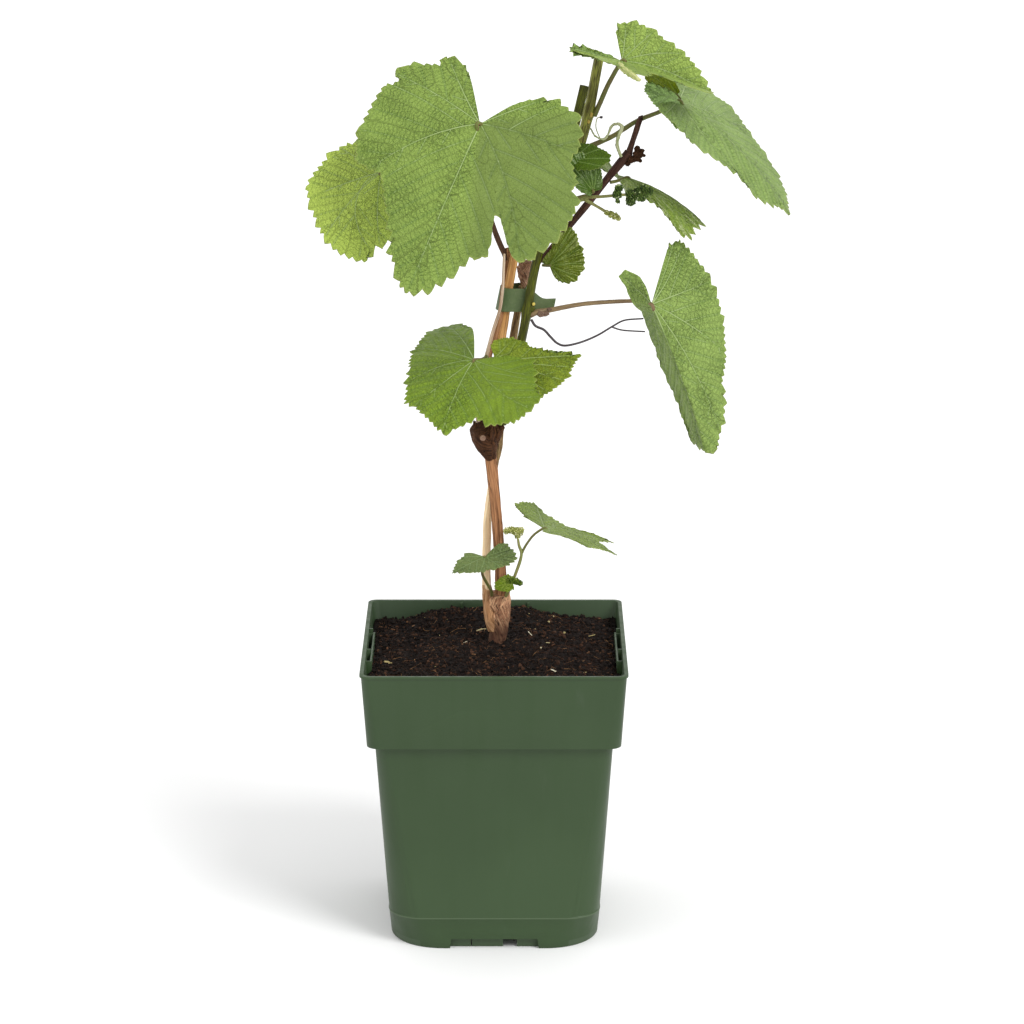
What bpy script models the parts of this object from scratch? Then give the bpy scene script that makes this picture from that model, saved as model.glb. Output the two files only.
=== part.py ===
"""A young grapevine in a square nursery pot, 528 mm tall.

Metres, +Z up, front towards -Y. The origin is the middle of the pot's flat foot.
Points of the plant are written in millimetres from there and scaled by MM.
"""
import math

import bmesh
import bpy
from mathutils import Matrix, Vector

MM = 0.001
GAP = 0.3 * MM                     # clearance between neighbouring pieces

# Pot: a square tub with a wide lip; half widths are over flats
POT_HEIGHT = 170 * MM
RIM_HALF = 76 * MM
RIM_FLANGE = 1.5 * MM
RIM_STEP = 0.2 * MM
LIP_HALF = 75.2 * MM
LIP_FOOT_HALF = 72.4 * MM
LIP_DEPTH = 44 * MM
BODY_HALF = 67.9 * MM
BASE_HALF = 61.3 * MM
WALL = 1.5 * MM
FLOOR_UNDER = 6.5 * MM             # recess under the floor, inside the skirt
FLOOR_TOP = 8 * MM
BEAD_HEIGHT = 19 * MM
BEAD_PROUD = 0.6 * MM
BEAD_HALF = BASE_HALF + 0.7 * MM
BITE = 0.8 * MM                    # how far fused pieces run into each other
LIP_CORNER = 5.5 * MM
BODY_CORNER = 7 * MM
BEAD_CORNER = 14 * MM
BASE_CORNER = 31 * MM
CORNER_STEPS = 5
NOTCH_HALF = 26.5 * MM
NOTCH_HEIGHT = 6 * MM
FOOT_RADIUS = 20 * MM
DRAIN_RADIUS = 6 * MM
DRAIN_OFFSET = 38 * MM
TAB_OFFSET = 20 * MM
TAB_SIZE = (1.2 * MM, 4 * MM, 4 * MM)
TAB_HEIGHT = 164.5 * MM
RIB_OFFSET = 52 * MM
RIB_BLOCKS = ((-19, 12), (-4, 18), (19.5, 13))   # middle and width along a side, mm

# Soil: its level at the wall and in the middle
SOIL_EDGE = 160 * MM
SOIL_CROWN = 167 * MM
CROWN_FLAT = 12 * MM               # level ground that the trunk stands on

# Leaf blades
LEAF_THICKNESS = 0.8 * MM
LEAF_THICKNESS_SHARE = 0.011       # of the leaf's length, where that is more
TOOTH_DEPTH = 0.05                 # of the rim's radius
TOOTH_SPOKES = 3

PARTS = bpy.data.collections.new("potted_grapevine")

POT_GREEN = (0.060, 0.105, 0.052)
SOIL_BROWN = (0.022, 0.013, 0.009)
BARK = (0.200, 0.105, 0.055)
KNOT_BARK = (0.085, 0.042, 0.028)
PALE_BARK = (0.420, 0.240, 0.120)
GREEN_SHOOT = (0.190, 0.240, 0.060)
LEAF_GREEN = (0.140, 0.290, 0.065)
YOUNG_GREEN = (0.060, 0.170, 0.040)
TAPE_GREEN = (0.035, 0.110, 0.050)
TENDRIL_BROWN = (0.130, 0.090, 0.080)
PALE_GREEN = (0.400, 0.480, 0.220)


def clear_scene():
    for item in list(bpy.data.objects):
        bpy.data.objects.remove(item, do_unlink=True)
    bpy.context.scene.collection.children.link(PARTS)


def material(name, colour, roughness):
    """A plain non-metal; colour is linear RGB."""
    result = bpy.data.materials.new(name)
    result.use_nodes = True
    shader = result.node_tree.nodes["Principled BSDF"]
    shader.inputs["Base Color"].default_value = (*colour, 1.0)
    shader.inputs["Roughness"].default_value = roughness
    shader.inputs["Metallic"].default_value = 0.0
    return result


def keep(name, mesh):
    """An object for a finished bmesh."""
    bmesh.ops.recalc_face_normals(mesh, faces=mesh.faces)
    data = bpy.data.meshes.new(name)
    mesh.to_mesh(data)
    mesh.free()
    result = bpy.data.objects.new(name, data)
    PARTS.objects.link(result)
    return result


def evaluated_mesh(item):
    bpy.context.view_layer.update()
    graph = bpy.context.evaluated_depsgraph_get()
    return bpy.data.meshes.new_from_object(item.evaluated_get(graph))


def combine(name, body, others, operation):
    """Applies one Boolean of a whole collection to the body, and uses the others up."""
    group = bpy.data.collections.new(name + "_operands")
    bpy.context.scene.collection.children.link(group)
    for item in others:
        item.users_collection[0].objects.unlink(item)
        group.objects.link(item)
    boolean = body.modifiers.new("combine", "BOOLEAN")
    boolean.operation = operation
    boolean.operand_type = "COLLECTION"
    boolean.collection = group
    boolean.solver = "EXACT"
    mesh = evaluated_mesh(body)
    body.modifiers.clear()
    body.data = mesh
    body.name = name
    for item in list(group.objects):
        bpy.data.objects.remove(item, do_unlink=True)
    bpy.data.collections.remove(group)
    return body


def finish(item, name, colour, roughness=0.6, smooth=40):
    """Names a piece, gives it its own material and shades its round parts smooth."""
    item.name = name
    item.data.name = name
    item.data.materials.clear()
    item.data.materials.append(material(name, colour, roughness))
    item.data.shade_smooth()
    item.data.set_sharp_from_angle(angle=math.radians(smooth))
    return item


# ---------------------------------------------------------------- pot and soil

def square_ring(mesh, half, corner, height):
    """A ring of vertices on a square with round corners."""
    ring = []
    for quarter in range(4):
        middle = math.radians(45 + 90 * quarter)
        reach = (half - corner) * math.sqrt(2)
        centre = Vector((reach * math.cos(middle), reach * math.sin(middle), height))
        for step in range(CORNER_STEPS + 1):
            angle = math.radians(90 * (quarter + step / CORNER_STEPS))
            ring.append(mesh.verts.new(centre + corner * Vector((math.cos(angle), math.sin(angle), 0))))
    return ring


def loft(name, sections):
    """A closed body through rounded squares (half width, corner radius, height)."""
    mesh = bmesh.new()
    rings = [square_ring(mesh, *section) for section in sections]
    for lower, upper in zip(rings, rings[1:]):
        for index in range(len(lower)):
            following = (index + 1) % len(lower)
            mesh.faces.new((lower[index], lower[following], upper[following], upper[index]))
    mesh.faces.new(rings[0])
    mesh.faces.new(rings[-1])
    return keep(name, mesh)


def block(name, size, centre, taper=1.0):
    """A box whose top is narrowed along X by the taper."""
    mesh = bmesh.new()
    bmesh.ops.create_cube(mesh, size=1.0)
    for vertex in mesh.verts:
        if vertex.co.z > 0:
            vertex.co.x *= taper
        vertex.co = Vector(a * b for a, b in zip(vertex.co, size)) + Vector(centre)
    return keep(name, mesh)


def disc(name, radius, low, high, centre=(0, 0), segments=24):
    mesh = bmesh.new()
    bmesh.ops.create_cone(mesh, cap_ends=True, segments=segments, radius1=radius, radius2=radius, depth=high - low)
    bmesh.ops.translate(mesh, verts=mesh.verts, vec=(centre[0], centre[1], (low + high) / 2))
    return keep(name, mesh)


def pot_sections():
    """The pot's wall, from the recess under the floor, up the outside and down the inside."""
    lip_foot = POT_HEIGHT - LIP_DEPTH
    return (
        (BASE_HALF - 3.5 * MM, BASE_CORNER - 3.5 * MM, FLOOR_UNDER),
        (BASE_HALF - 3.2 * MM, BASE_CORNER - 3.2 * MM, 0),
        (BASE_HALF - 0.9 * MM, BASE_CORNER - 0.9 * MM, 0),
        (BASE_HALF - 0.3 * MM, BASE_CORNER - 0.3 * MM, 0.8 * MM),
        (BASE_HALF, BASE_CORNER, 4 * MM),
        (BEAD_HALF, BEAD_CORNER, BEAD_HEIGHT - 0.8 * MM),
        (BEAD_HALF + BEAD_PROUD, BEAD_CORNER, BEAD_HEIGHT - 0.3 * MM),
        (BEAD_HALF + BEAD_PROUD, BEAD_CORNER, BEAD_HEIGHT + 0.3 * MM),
        (BEAD_HALF, BEAD_CORNER, BEAD_HEIGHT + 0.8 * MM),
        (BODY_HALF, BODY_CORNER, lip_foot - 0.4 * MM),
        (LIP_FOOT_HALF, BODY_CORNER, lip_foot),
        (LIP_HALF, LIP_CORNER, POT_HEIGHT - RIM_FLANGE),
        (RIM_HALF, LIP_CORNER, POT_HEIGHT - RIM_FLANGE + RIM_STEP),
        (RIM_HALF, LIP_CORNER, POT_HEIGHT),
        (LIP_HALF - WALL, LIP_CORNER - 1 * MM, POT_HEIGHT),
        (LIP_FOOT_HALF - WALL, BODY_CORNER - 1 * MM, lip_foot + WALL),
        (BODY_HALF - WALL, BODY_CORNER - 1 * MM, lip_foot + WALL - 0.4 * MM),
        (BEAD_HALF - WALL, BEAD_CORNER - 1 * MM, BEAD_HEIGHT),
        (BASE_HALF - WALL - 0.6 * MM, BASE_CORNER - 2 * MM, FLOOR_TOP),
    )


def on_each_side(pieces):
    """Turns copies of the pieces about the pot's axis onto its other three sides."""
    copies = []
    for item in pieces:
        for quarter in range(1, 4):
            turned = item.copy()
            turned.data = item.data.copy()
            turned.data.transform(Matrix.Rotation(math.radians(90 * quarter), 4, "Z"))
            item.users_collection[0].objects.link(turned)
            copies.append(turned)
    return pieces + copies


def make_pot():
    walls = loft("pot_walls", pot_sections())
    foot = disc("foot", FOOT_RADIUS, 0, FLOOR_UNDER + BITE)
    ribs = []
    for middle, width in RIB_BLOCKS:
        size = (width * MM, WALL, FLOOR_UNDER)
        ribs.append(block("rib", size, (middle * MM, -RIB_OFFSET, FLOOR_UNDER / 2 + BITE)))
    for side in (-1, 1):
        wall_face = -(LIP_HALF - WALL - 0.35 * MM)
        centre = (side * TAB_OFFSET, wall_face + TAB_SIZE[1] / 2 - BITE, TAB_HEIGHT)
        ribs.append(block("tab", TAB_SIZE, centre))
    pot = combine("pot", walls, [foot] + on_each_side(ribs), "UNION")
    notch_size = (2 * NOTCH_HALF, 12 * MM, 2 * NOTCH_HEIGHT)
    notch = block("notch", notch_size, (0, -(BASE_HALF - 1.5 * MM), 0), 0.94)
    cuts = on_each_side([notch])
    drain = disc("drain", DRAIN_RADIUS, FLOOR_UNDER - 2 * MM, FLOOR_TOP + 2 * MM, (DRAIN_OFFSET, 0), 16)
    cuts += on_each_side([drain])
    pot = combine("pot", pot, cuts, "DIFFERENCE")
    return finish(pot, "pot", POT_GREEN, 0.42, 30)


def make_soil():
    """Potting mix that fills the pot, a hair inside its wall, mounded round the trunk."""
    shelf = POT_HEIGHT - LIP_DEPTH + WALL
    slope = (LIP_HALF - LIP_FOOT_HALF) / (LIP_DEPTH - RIM_FLANGE)
    edge_half = LIP_FOOT_HALF - WALL + slope * (SOIL_EDGE - shelf) - 2 * GAP
    rise = SOIL_CROWN - SOIL_EDGE
    sections = [
        (BASE_HALF - WALL - 0.6 * MM - 2 * GAP, BASE_CORNER - 2 * MM, FLOOR_TOP + GAP),
        (BEAD_HALF - WALL - 2 * GAP, BEAD_CORNER - 1 * MM, BEAD_HEIGHT + GAP),
        (BODY_HALF - WALL - 2 * GAP, BODY_CORNER - 1 * MM, shelf),
        (LIP_FOOT_HALF - WALL - 2 * GAP, BODY_CORNER - 1 * MM, shelf + 2 * GAP),
        (edge_half, LIP_CORNER - 1 * MM, SOIL_EDGE),
    ]
    for share in (0.90, 0.68, 0.42, 0.24):
        half = edge_half * share
        level = SOIL_EDGE + rise * (1 - share ** 1.5) ** 0.8
        sections.append((half, max(half * (1 - share) * 0.9, LIP_CORNER), level))
    sections.append((CROWN_FLAT, CROWN_FLAT * 0.98, SOIL_CROWN))
    return finish(loft("soil", sections), "soil", SOIL_BROWN, 0.95)


# ---------------------------------------------------------------- stems

def spline_points(points, pieces):
    """A smooth run (Catmull-Rom) through points in mm, with so many pieces between two."""
    run = [Vector(point) * MM for point in points]
    run = [2 * run[0] - run[1]] + run + [2 * run[-1] - run[-2]]
    fine = []
    for before, start, end, after in zip(run, run[1:], run[2:], run[3:]):
        for step in range(pieces):
            t = step / pieces
            fine.append(0.5 * (2 * start + (end - before) * t
                               + (2 * before - 5 * start + 4 * end - after) * t * t
                               + (3 * start - before - 3 * end + after) * t ** 3))
    fine.append(run[-2])
    return fine


def limb(name, points, radii, pieces=2, sides=8):
    """A tapering round limb through the points; radii in mm, spread evenly over them."""
    path = spline_points(points, pieces)
    curve = bpy.data.curves.new(name, "CURVE")
    curve.dimensions = "3D"
    curve.bevel_depth = MM
    curve.bevel_resolution = sides // 2 - 2
    curve.use_fill_caps = True
    spline = curve.splines.new("POLY")
    spline.points.add(len(path) - 1)
    for index, position in enumerate(path):
        spline.points[index].co = (*position, 1.0)
        place = index / (len(path) - 1) * (len(radii) - 1)
        low = min(int(place), len(radii) - 2)
        spline.points[index].radius = radii[low] + (radii[low + 1] - radii[low]) * (place - low)
    item = bpy.data.objects.new(name, curve)
    PARTS.objects.link(item)
    mesh = bmesh.new()
    mesh.from_mesh(evaluated_mesh(item))
    bmesh.ops.remove_doubles(mesh, verts=mesh.verts, dist=0.01 * MM)
    bpy.data.objects.remove(item, do_unlink=True)
    return keep(name, mesh)


def lump(name, centre, radius, squash=1.0, detail=1):
    """A bud, knot or bead of dried growth; centre and radius in mm."""
    mesh = bmesh.new()
    bmesh.ops.create_icosphere(mesh, subdivisions=detail, radius=radius * MM)
    bmesh.ops.scale(mesh, verts=mesh.verts, vec=(1, 1, squash))
    bmesh.ops.translate(mesh, verts=mesh.verts, vec=Vector(centre) * MM)
    return keep(name, mesh)


def make_stems():
    """The old wood: trunk, two stems, the knot that they end in, and the canes above it."""
    trunk = limb("trunk", ((1.5, 3, 167.45), (1.7, 3, 177), (1.8, 2.5, 187), (1.8, 2, 196)),
                 (4.4, 5.0, 6.6, 7.5), 2, 10)
    finish(trunk, "trunk", BARK, 0.85)
    pale = limb("pale_stem", ((-4.2, 3, 196.6), (-4.7, 3.7, 216), (-4.2, 4.6, 240), (-0.3, 4.2, 267),
                              (3.4, 5.2, 293), (6.2, 4.5, 317), (10.5, 4, 345), (16, 4.7, 376.6)),
                (2.3, 2.6, 2.5, 2.2, 1.9, 2.0, 2.3, 1.9))
    finish(pale, "pale_stem", PALE_BARK, 0.7)
    brown = limb("brown_stem", ((3.8, 0, 196.6), (3.2, -0.5, 211), (3, -1, 229), (0.4, -3, 259.5),
                                (-3.3, -4, 280)),
                 (3.5, 3.3, 3.0, 2.9, 2.9))
    finish(brown, "brown_stem", BARK, 0.8)
    cane_a = limb("cane_a", ((-9.2, -7, 301.3), (-7.5, -8.3, 319), (-4.3, -8.5, 340), (1.1, -8.5, 361),
                             (5.4, -7.5, 383.5), (5.7, -5, 393), (4, -3, 401), (-3.9, 1, 424.5)),
                  (1.4, 1.4, 1.4, 1.3, 1.1))
    finish(cane_a, "cane_a", PALE_BARK, 0.7)
    cane_b = limb("cane_b", ((-5.9, -1, 300.9), (-2.4, 1, 325), (3.9, 1, 361.5), (8.2, 0.5, 392.5),
                             (9.6, 1, 405)), (2, 2, 2, 1.9))
    finish(cane_b, "cane_b", BARK, 0.75)
    cane_c = limb("cane_c", ((-1.8, -7, 300.5), (1.1, -6, 328), (6.2, -4.5, 363), (8.5, -4.5, 380),
                             (13, -6, 405)), (2.85, 2.7, 2.5, 2.3))
    finish(cane_c, "cane_c", PALE_BARK, 0.7)


def make_head():
    """The old knot where the brown stem ends, with a sawn stub and a dead spike."""
    knot = limb("knot", ((-4.2, -4.6, 280.6), (-5, -5.5, 286), (-5.2, -6, 291), (-5, -6, 296),
                         (-4.5, -6, 300.2)), (2.8, 4.9, 7.8, 9.0, 6.4), 2, 10)
    stub = limb("stub", ((-6.5, -9, 293), (-7, -16, 292.5)), (2.8, 2.4), 1)
    spike = limb("spike", ((-10.5, -9, 292), (-11.5, -11, 302.5)), (1.8, 0.8), 1, 6)
    spur = limb("spur", ((0, -6, 291), (4.6, -6, 298.2)), (3.5, 1.8), 1, 6)
    finish(combine("lower_knot", knot, [stub, spike, spur], "UNION"), "lower_knot", KNOT_BARK, 0.9)


def make_shoots():
    """This year's green wood, and the brown cane that carries dried buds."""
    main = limb("main_shoot", ((4.8, -6.5, 299.6), (9, -9, 323), (15, -11, 347), (19, -12, 367.5),
                               (24.6, -10, 397.5), (37, -8, 439.5), (45.8, -6, 472.5), (51, -5, 492.5)),
                (2.55, 2.55, 2.6, 2.5), 3)
    bud = lump("bud", (21.5, -13, 369.2), 1.9)
    finish(combine("main_shoot", main, [bud], "UNION"), "main_shoot", GREEN_SHOOT, 0.5)
    second = limb("second_shoot", ((24.4, 1.2, 386.8), (29.4, 1, 399.5), (37.3, 1.5, 420.5), (44, 2.5, 444),
                                   (52.6, 4, 472.5), (59, 4, 507.5)), (2, 2.3, 2.6, 2.6, 2.5))
    finish(second, "second_shoot", GREEN_SHOOT, 0.5)
    knot = limb("upper_knot", ((16.1, 4.8, 377.2), (16.4, 5.2, 379.5), (17.5, 5.8, 383), (18.7, 5.8, 386.5),
                               (19.8, 6, 390)), (2.0, 4.2, 6.0, 5.6, 3.8))
    finish(knot, "upper_knot", KNOT_BARK, 0.9)
    spur = limb("spur_cane", ((23.7, 7.2, 389.4), (30.6, 8, 396.7), (42.5, 8, 411.5), (55.5, 7, 428),
                              (67.2, 7, 443), (76.2, 7, 453.8)), (1.7, 1.9, 2.0, 2.1, 2.8), 2)
    tip = limb("tip", ((76, 7, 452.5), (78.4, 7, 461), (82.2, 7, 473.4)), (2.0, 1.5, 1.6), 1)
    dried = [lump("dried", (77.3, 5.6, 450.4), 2.4), lump("dried", (80.4, 6, 455.9), 2.4),
             lump("dried", (82.6, 5.2, 453), 2.4), lump("dried", (80, 4.6, 452.2), 2.7)]
    finish(combine("spur_cane", spur, [tip] + dried, "UNION"), "spur_cane", BARK, 0.8)


def make_tie():
    """Green tape wound once round the canes, with its loose end out to the right."""
    height = 12 * MM
    lean = 0.2
    middle = 370.5
    plan = ((35, -5.6), (27, -7.2), (19, -8.3), (12, -8.4), (7.5, -8.2), (4.4, -6.5), (3.4, -4),
            (2.4, -1.5), (2.2, 1.5), (4, 4), (8, 6), (13, 7.8), (16.8, 7.3), (18.3, 4.5), (18, 0), (16.5, -4))
    mesh = bmesh.new()
    lines = []
    for edge, taper in ((-0.5, 0.02), (0.5, 0.06)):
        row = []
        for x, y in plan:
            rise = edge * height * (1 - taper * max(0, x - 20))
            row.append(mesh.verts.new((x * MM + lean * rise, y * MM, middle * MM + rise)))
        lines.append(row)
    for index in range(len(plan) - 1):
        mesh.faces.new((lines[0][index], lines[0][index + 1], lines[1][index + 1], lines[1][index]))
    tie = keep("tie", mesh)
    skin = tie.modifiers.new("thickness", "SOLIDIFY")
    skin.thickness = 0.5 * MM
    skin.offset = 0
    return finish(tie, "tie", TAPE_GREEN, 0.35)


# ---------------------------------------------------------------- leaves

def rim_reach(rim, angle):
    """Rim radius over leaf length: rounded in the sinuses and pointed at the lobes."""
    for (low, start), (high, end) in zip(rim, rim[1:]):
        if angle <= high:
            break
    share = min(max((angle - low) / (high - low), 0.0), 1.0)
    if end > start:
        return start + (end - start) * share ** 1.25
    return end + (start - end) * (1 - share) ** 1.25


def leaf_length(leaf):
    """Length of the midrib, which arches over the chord from its joint to its tip."""
    chord = (Vector(leaf["tip"]) - Vector(leaf["at"])).length * MM
    half = math.radians(leaf["arch"]) / 2
    return chord * half / math.sin(half)


def leaf_point(leaf, angle, radius):
    """A place on the blade, by its angle from the midrib and its distance from the joint."""
    at = Vector(leaf["at"]) * MM
    along = (Vector(leaf["tip"]) * MM - at).normalized()
    face = Vector(leaf["face"])
    face = (face - face.dot(along) * along).normalized()
    across = face.cross(along)
    length = leaf_length(leaf)
    arch = math.radians(leaf["arch"])
    forward = radius * math.cos(math.radians(angle))
    sideways = radius * math.sin(math.radians(angle))
    side = 1 if sideways > 0 else 0
    behind = max(0.0, -forward / length)
    fold = math.radians(leaf["fold"][side] + leaf["flare"][side] * behind)
    curl = math.radians(leaf["curl"][side] or 0.01) / length
    width = abs(sideways)
    out = (math.sin(fold + curl * width) - math.sin(fold)) / curl
    up = (math.cos(fold) - math.cos(fold + curl * width)) / curl
    turn = arch / 2 - arch * forward / length
    ahead = length / arch * (math.sin(arch / 2) - math.sin(turn))
    rise = length / arch * (math.cos(turn) - math.cos(arch / 2))
    normal = math.cos(turn) * face - math.sin(turn) * along
    return at + ahead * along + rise * face + math.copysign(out, sideways) * across + up * normal


def blade(name, leaf, spokes, rings):
    """A toothed blade: spokes from the joint to the rim, then given its thickness."""
    rim = leaf["rim"]
    length = leaf_length(leaf)
    mesh = bmesh.new()
    joint = mesh.verts.new(leaf_point(leaf, 0, 0))
    rows = []
    for ring in range(1, rings + 1):
        share = ring / rings
        row = []
        for spoke in range(spokes + 1):
            angle = rim[0][0] + (rim[-1][0] - rim[0][0]) * spoke / spokes
            tooth = 1 + TOOTH_DEPTH * (1 if spoke % TOOTH_SPOKES == 1 else -0.5) * share ** 3
            row.append(mesh.verts.new(leaf_point(leaf, angle, share * length * rim_reach(rim, angle) * tooth)))
        rows.append(row)
    for spoke in range(spokes):
        mesh.faces.new((joint, rows[0][spoke], rows[0][spoke + 1]))
        for inner, outer in zip(rows, rows[1:]):
            mesh.faces.new((inner[spoke], outer[spoke], outer[spoke + 1], inner[spoke + 1]))
    item = keep(name, mesh)
    skin = item.modifiers.new("thickness", "SOLIDIFY")
    skin.thickness = max(LEAF_THICKNESS, LEAF_THICKNESS_SHARE * length)
    skin.offset = 0
    item.data = evaluated_mesh(item)
    item.modifiers.clear()
    return item


def leaf(name, shape, stalk, radii, spokes, rings=3, colour=LEAF_GREEN):
    """A blade fused to its stalk, which runs on a little way under the midrib."""
    at = Vector(shape["at"])
    along = (Vector(shape["tip"]) - at).normalized()
    run_on = at + along * 0.05 * leaf_length(shape) / MM
    stem = limb(name + "_stalk", tuple(stalk) + (tuple(at), tuple(run_on)), radii, 1, 6)
    body = combine(name, blade(name + "_blade", shape, spokes, rings), [stem], "UNION")
    return finish(body, name, colour, 0.5, 60)


def make_upper_leaves():
    leaf("leaf_big", dict(
        at=(-7.3, -50, 480), tip=(-47, -86, 392.7), face=(-0.05, -0.92, 0.38),
        arch=20, fold=(-6, -4), curl=(-10, -10), flare=(0, 0),
        rim=((-147, 0.32), (-130, 0.49), (-100, 0.575), (-55, 0.69), (-40, 0.66), (-24, 0.70), (-9, 0.86),
             (-2, 1), (6, 0.95), (17, 0.79), (26, 0.73), (33, 0.49), (38, 0.78), (46, 0.81), (70, 0.70), (100, 0.575),
             (122, 0.545), (136, 0.46), (150, 0.23))),
         ((34.6, -9.8, 441.7), (23, -16, 450.5), (9, -26, 461.5)), (1.3, 1.2, 1.2, 1.3, 0.9), 60)
    leaf("leaf_left", dict(
        at=(-62.5, -14, 446.8), tip=(-89, -34, 406), face=(-0.2, -0.85, 0.45),
        arch=15, fold=(-5, -12), curl=(0, 0), flare=(0, 0),
        rim=((-150, 0.30), (-103, 0.55), (-77, 0.66), (-52, 0.84), (-30, 0.86), (0, 1), (23, 1.03),
             (45, 0.95), (75, 0.8), (110, 0.7), (150, 0.35))),
         ((-5.2, 0.9, 425.5), (-30, -8, 436), (-49.7, -13, 444.3)), (1.1, 1.0, 0.9), 39)
    leaf("leaf_middle", dict(
        at=(-11, -36, 344), tip=(-26.8, -82, 313), face=(0.05, -0.66, 0.74),
        arch=25, fold=(-10, 12), curl=(-30, 8), flare=(0, 0),
        rim=((-164, 0.30), (-166, 0.72), (-157, 1.03), (-142, 1.0), (-117, 0.80), (-67, 0.65), (-36, 0.88),
             (-29, 0.85), (0, 1), (23, 0.88), (34, 1.0), (57, 0.94), (70, 1.02), (95, 1.05), (108, 0.68),
             (142, 0.45), (156, 0.35))),
         ((-4.2, -10.4, 340), (-6.7, -22, 341)), (1.1, 1.0, 0.9), 48)
    leaf("leaf_pendant", dict(
        at=(89.2, -30, 374.8), tip=(121.4, -36, 290), face=(0.30, -0.92, 0.20),
        arch=25, fold=(-93, -4), curl=(-5, -10), flare=(260, 0),
        rim=((-187, 0.19), (-170, 0.25), (-152, 0.26), (-139, 0.21), (-105, 0.22), (-85, 0.36), (-60, 0.37),
             (-42, 0.55), (-27, 0.68), (-18, 0.85), (-11, 0.95), (0, 1), (9, 0.95), (14, 0.76), (25, 0.64),
             (40, 0.55), (62, 0.445), (86, 0.43), (118, 0.46), (134, 0.47), (141, 0.33))),
         ((21.7, -11.3, 364), (31.7, -10, 367.6), (51.5, -9, 371), (78, -8, 372.3), (85.2, -16, 373)),
         (1.4, 1.2, 1.0, 0.9), 48)
    leaf("leaf_top", dict(
        at=(71.5, -4, 507.6), tip=(121.8, -6, 490.5), face=(0.15, -0.88, 0.40),
        arch=20, fold=(65, -3), curl=(0, 0), flare=(0, 0),
        rim=((-188, 0.35), (-181, 0.58), (-150, 0.5), (-121, 0.40), (-90, 0.55), (-77, 0.85), (-65, 0.75),
             (-45, 0.42), (-36, 0.5), (-29, 0.75), (-14, 0.97), (0, 1), (7, 0.88), (16, 0.78), (29, 0.64),
             (43, 0.525), (63, 0.47), (87, 0.43), (118, 0.42), (124, 0.2))),
         ((58.15, 3, 479.5), (60.6, 2.8, 485), (65, 2, 495)), (1.1, 0.95, 0.85), 48)
    leaf("leaf_long", dict(
        at=(104, 6, 484), tip=(166.7, -6, 422), face=(0.60, -0.36, 0.70),
        arch=25, fold=(0, -12), curl=(0, 0), flare=(0, 0),
        rim=((-162, 0.24), (-99, 0.27), (-74, 0.31), (-58, 0.43), (-39, 0.51), (-24, 0.62), (-19, 0.79),
             (-12, 0.865), (0, 1), (14, 0.945), (22, 0.86), (32, 0.76), (47, 0.69), (74, 0.72), (90, 0.6),
             (110, 0.5), (126, 0.4), (147, 0.34), (165, 0.4))),
         ((51.9, 5.1, 457.5), (66.6, 9, 463.3), (80.6, 11, 471.7), (94, 10, 477.5)), (1.1, 0.9, 0.85), 48)
    leaf("leaf_folded", dict(
        at=(75.4, 14, 438.6), tip=(118.4, 4, 414), face=(0.48, -0.28, 0.83),
        arch=45, fold=(-8, -50), curl=(-20, -20), flare=(60, 140),
        rim=((-110, 0.14), (-64, 0.16), (-32, 0.29), (-23, 0.46), (-20, 0.80), (-18, 1.02), (-8, 1.06),
             (0, 1), (20, 0.8), (50, 0.62), (85, 0.66), (130, 0.72), (155, 0.5), (170, 0.3))),
         ((66.4, 7.9, 437), (70, 10.5, 437.2)), (1.0, 0.8), 36)


def make_young_leaves():
    leaf("leaf_pleated", dict(
        at=(55.6, -4, 434), tip=(57, -12, 462.8), face=(0.15, -0.98, -0.10),
        arch=20, fold=(30, 30), curl=(0, 0), flare=(0, 0),
        rim=((-60, 0.15), (-31, 0.30), (-23, 0.6), (-20, 0.85), (-16, 0.95), (0, 1), (16, 1.12), (26, 1.1),
             (37, 1.05), (60, 0.95), (80, 0.6), (92, 0.3))),
         ((53.9, -2.1, 432.15),), (1.0, 0.9), 30, 2, YOUNG_GREEN)
    leaf("leaf_glossy", dict(
        at=(31, -4.5, 391.8), tip=(52, -15, 400), face=(-0.1, -0.93, 0.3),
        arch=10, fold=(0, 0), curl=(0, 0), flare=(0, 0),
        rim=((-75, 0.3), (-46, 0.78), (-25, 0.88), (0, 1.04), (12, 0.86), (26, 0.9), (34, 0.98), (54, 0.78),
             (61, 0.5), (83, 0.2))),
         ((28, -1, 391),), (0.9, 0.8), 24, 2, YOUNG_GREEN)
    leaf("leaf_base_left", dict(
        at=(-5.2, -20, 224.5), tip=(-24, -34, 218.5), face=(-0.15, -0.60, 0.79),
        arch=12, fold=(5, 5), curl=(0, 0), flare=(0, 0),
        rim=((-50, 0.37), (-24, 0.62), (-13, 0.79), (0, 1.0), (7, 0.85), (19, 0.76), (36, 0.64), (64, 0.52),
             (92, 0.54), (125, 0.63), (140, 0.72), (171, 0.79), (194, 0.80), (203, 0.6))),
         ((-1.5, -3.7, 196.6), (-2.2, -7, 201), (-6.8, -15, 212.5), (-6, -18.7, 221)), (0.9, 0.8), 33, 2)
    leaf("leaf_base_right", dict(
        at=(28.6, -10, 238.8), tip=(70.6, -12, 222.7), face=(0.37, 0, 0.92),
        arch=25, fold=(0, 0), curl=(0, 0), flare=(40, 40),
        rim=((-95, 0.2), (-48, 0.30), (-35, 0.48), (-32, 0.68), (-10, 0.78), (0, 1), (5, 0.87), (27, 1.03),
             (33, 0.6), (45, 0.42), (61, 0.42), (87, 0.62), (101, 0.82), (117, 0.73), (128, 0.63),
             (134, 0.3))),
         ((17.3, -8.5, 224.3), (22.8, -9, 233.8)), (0.7, 0.65), 36, 2)


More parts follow.
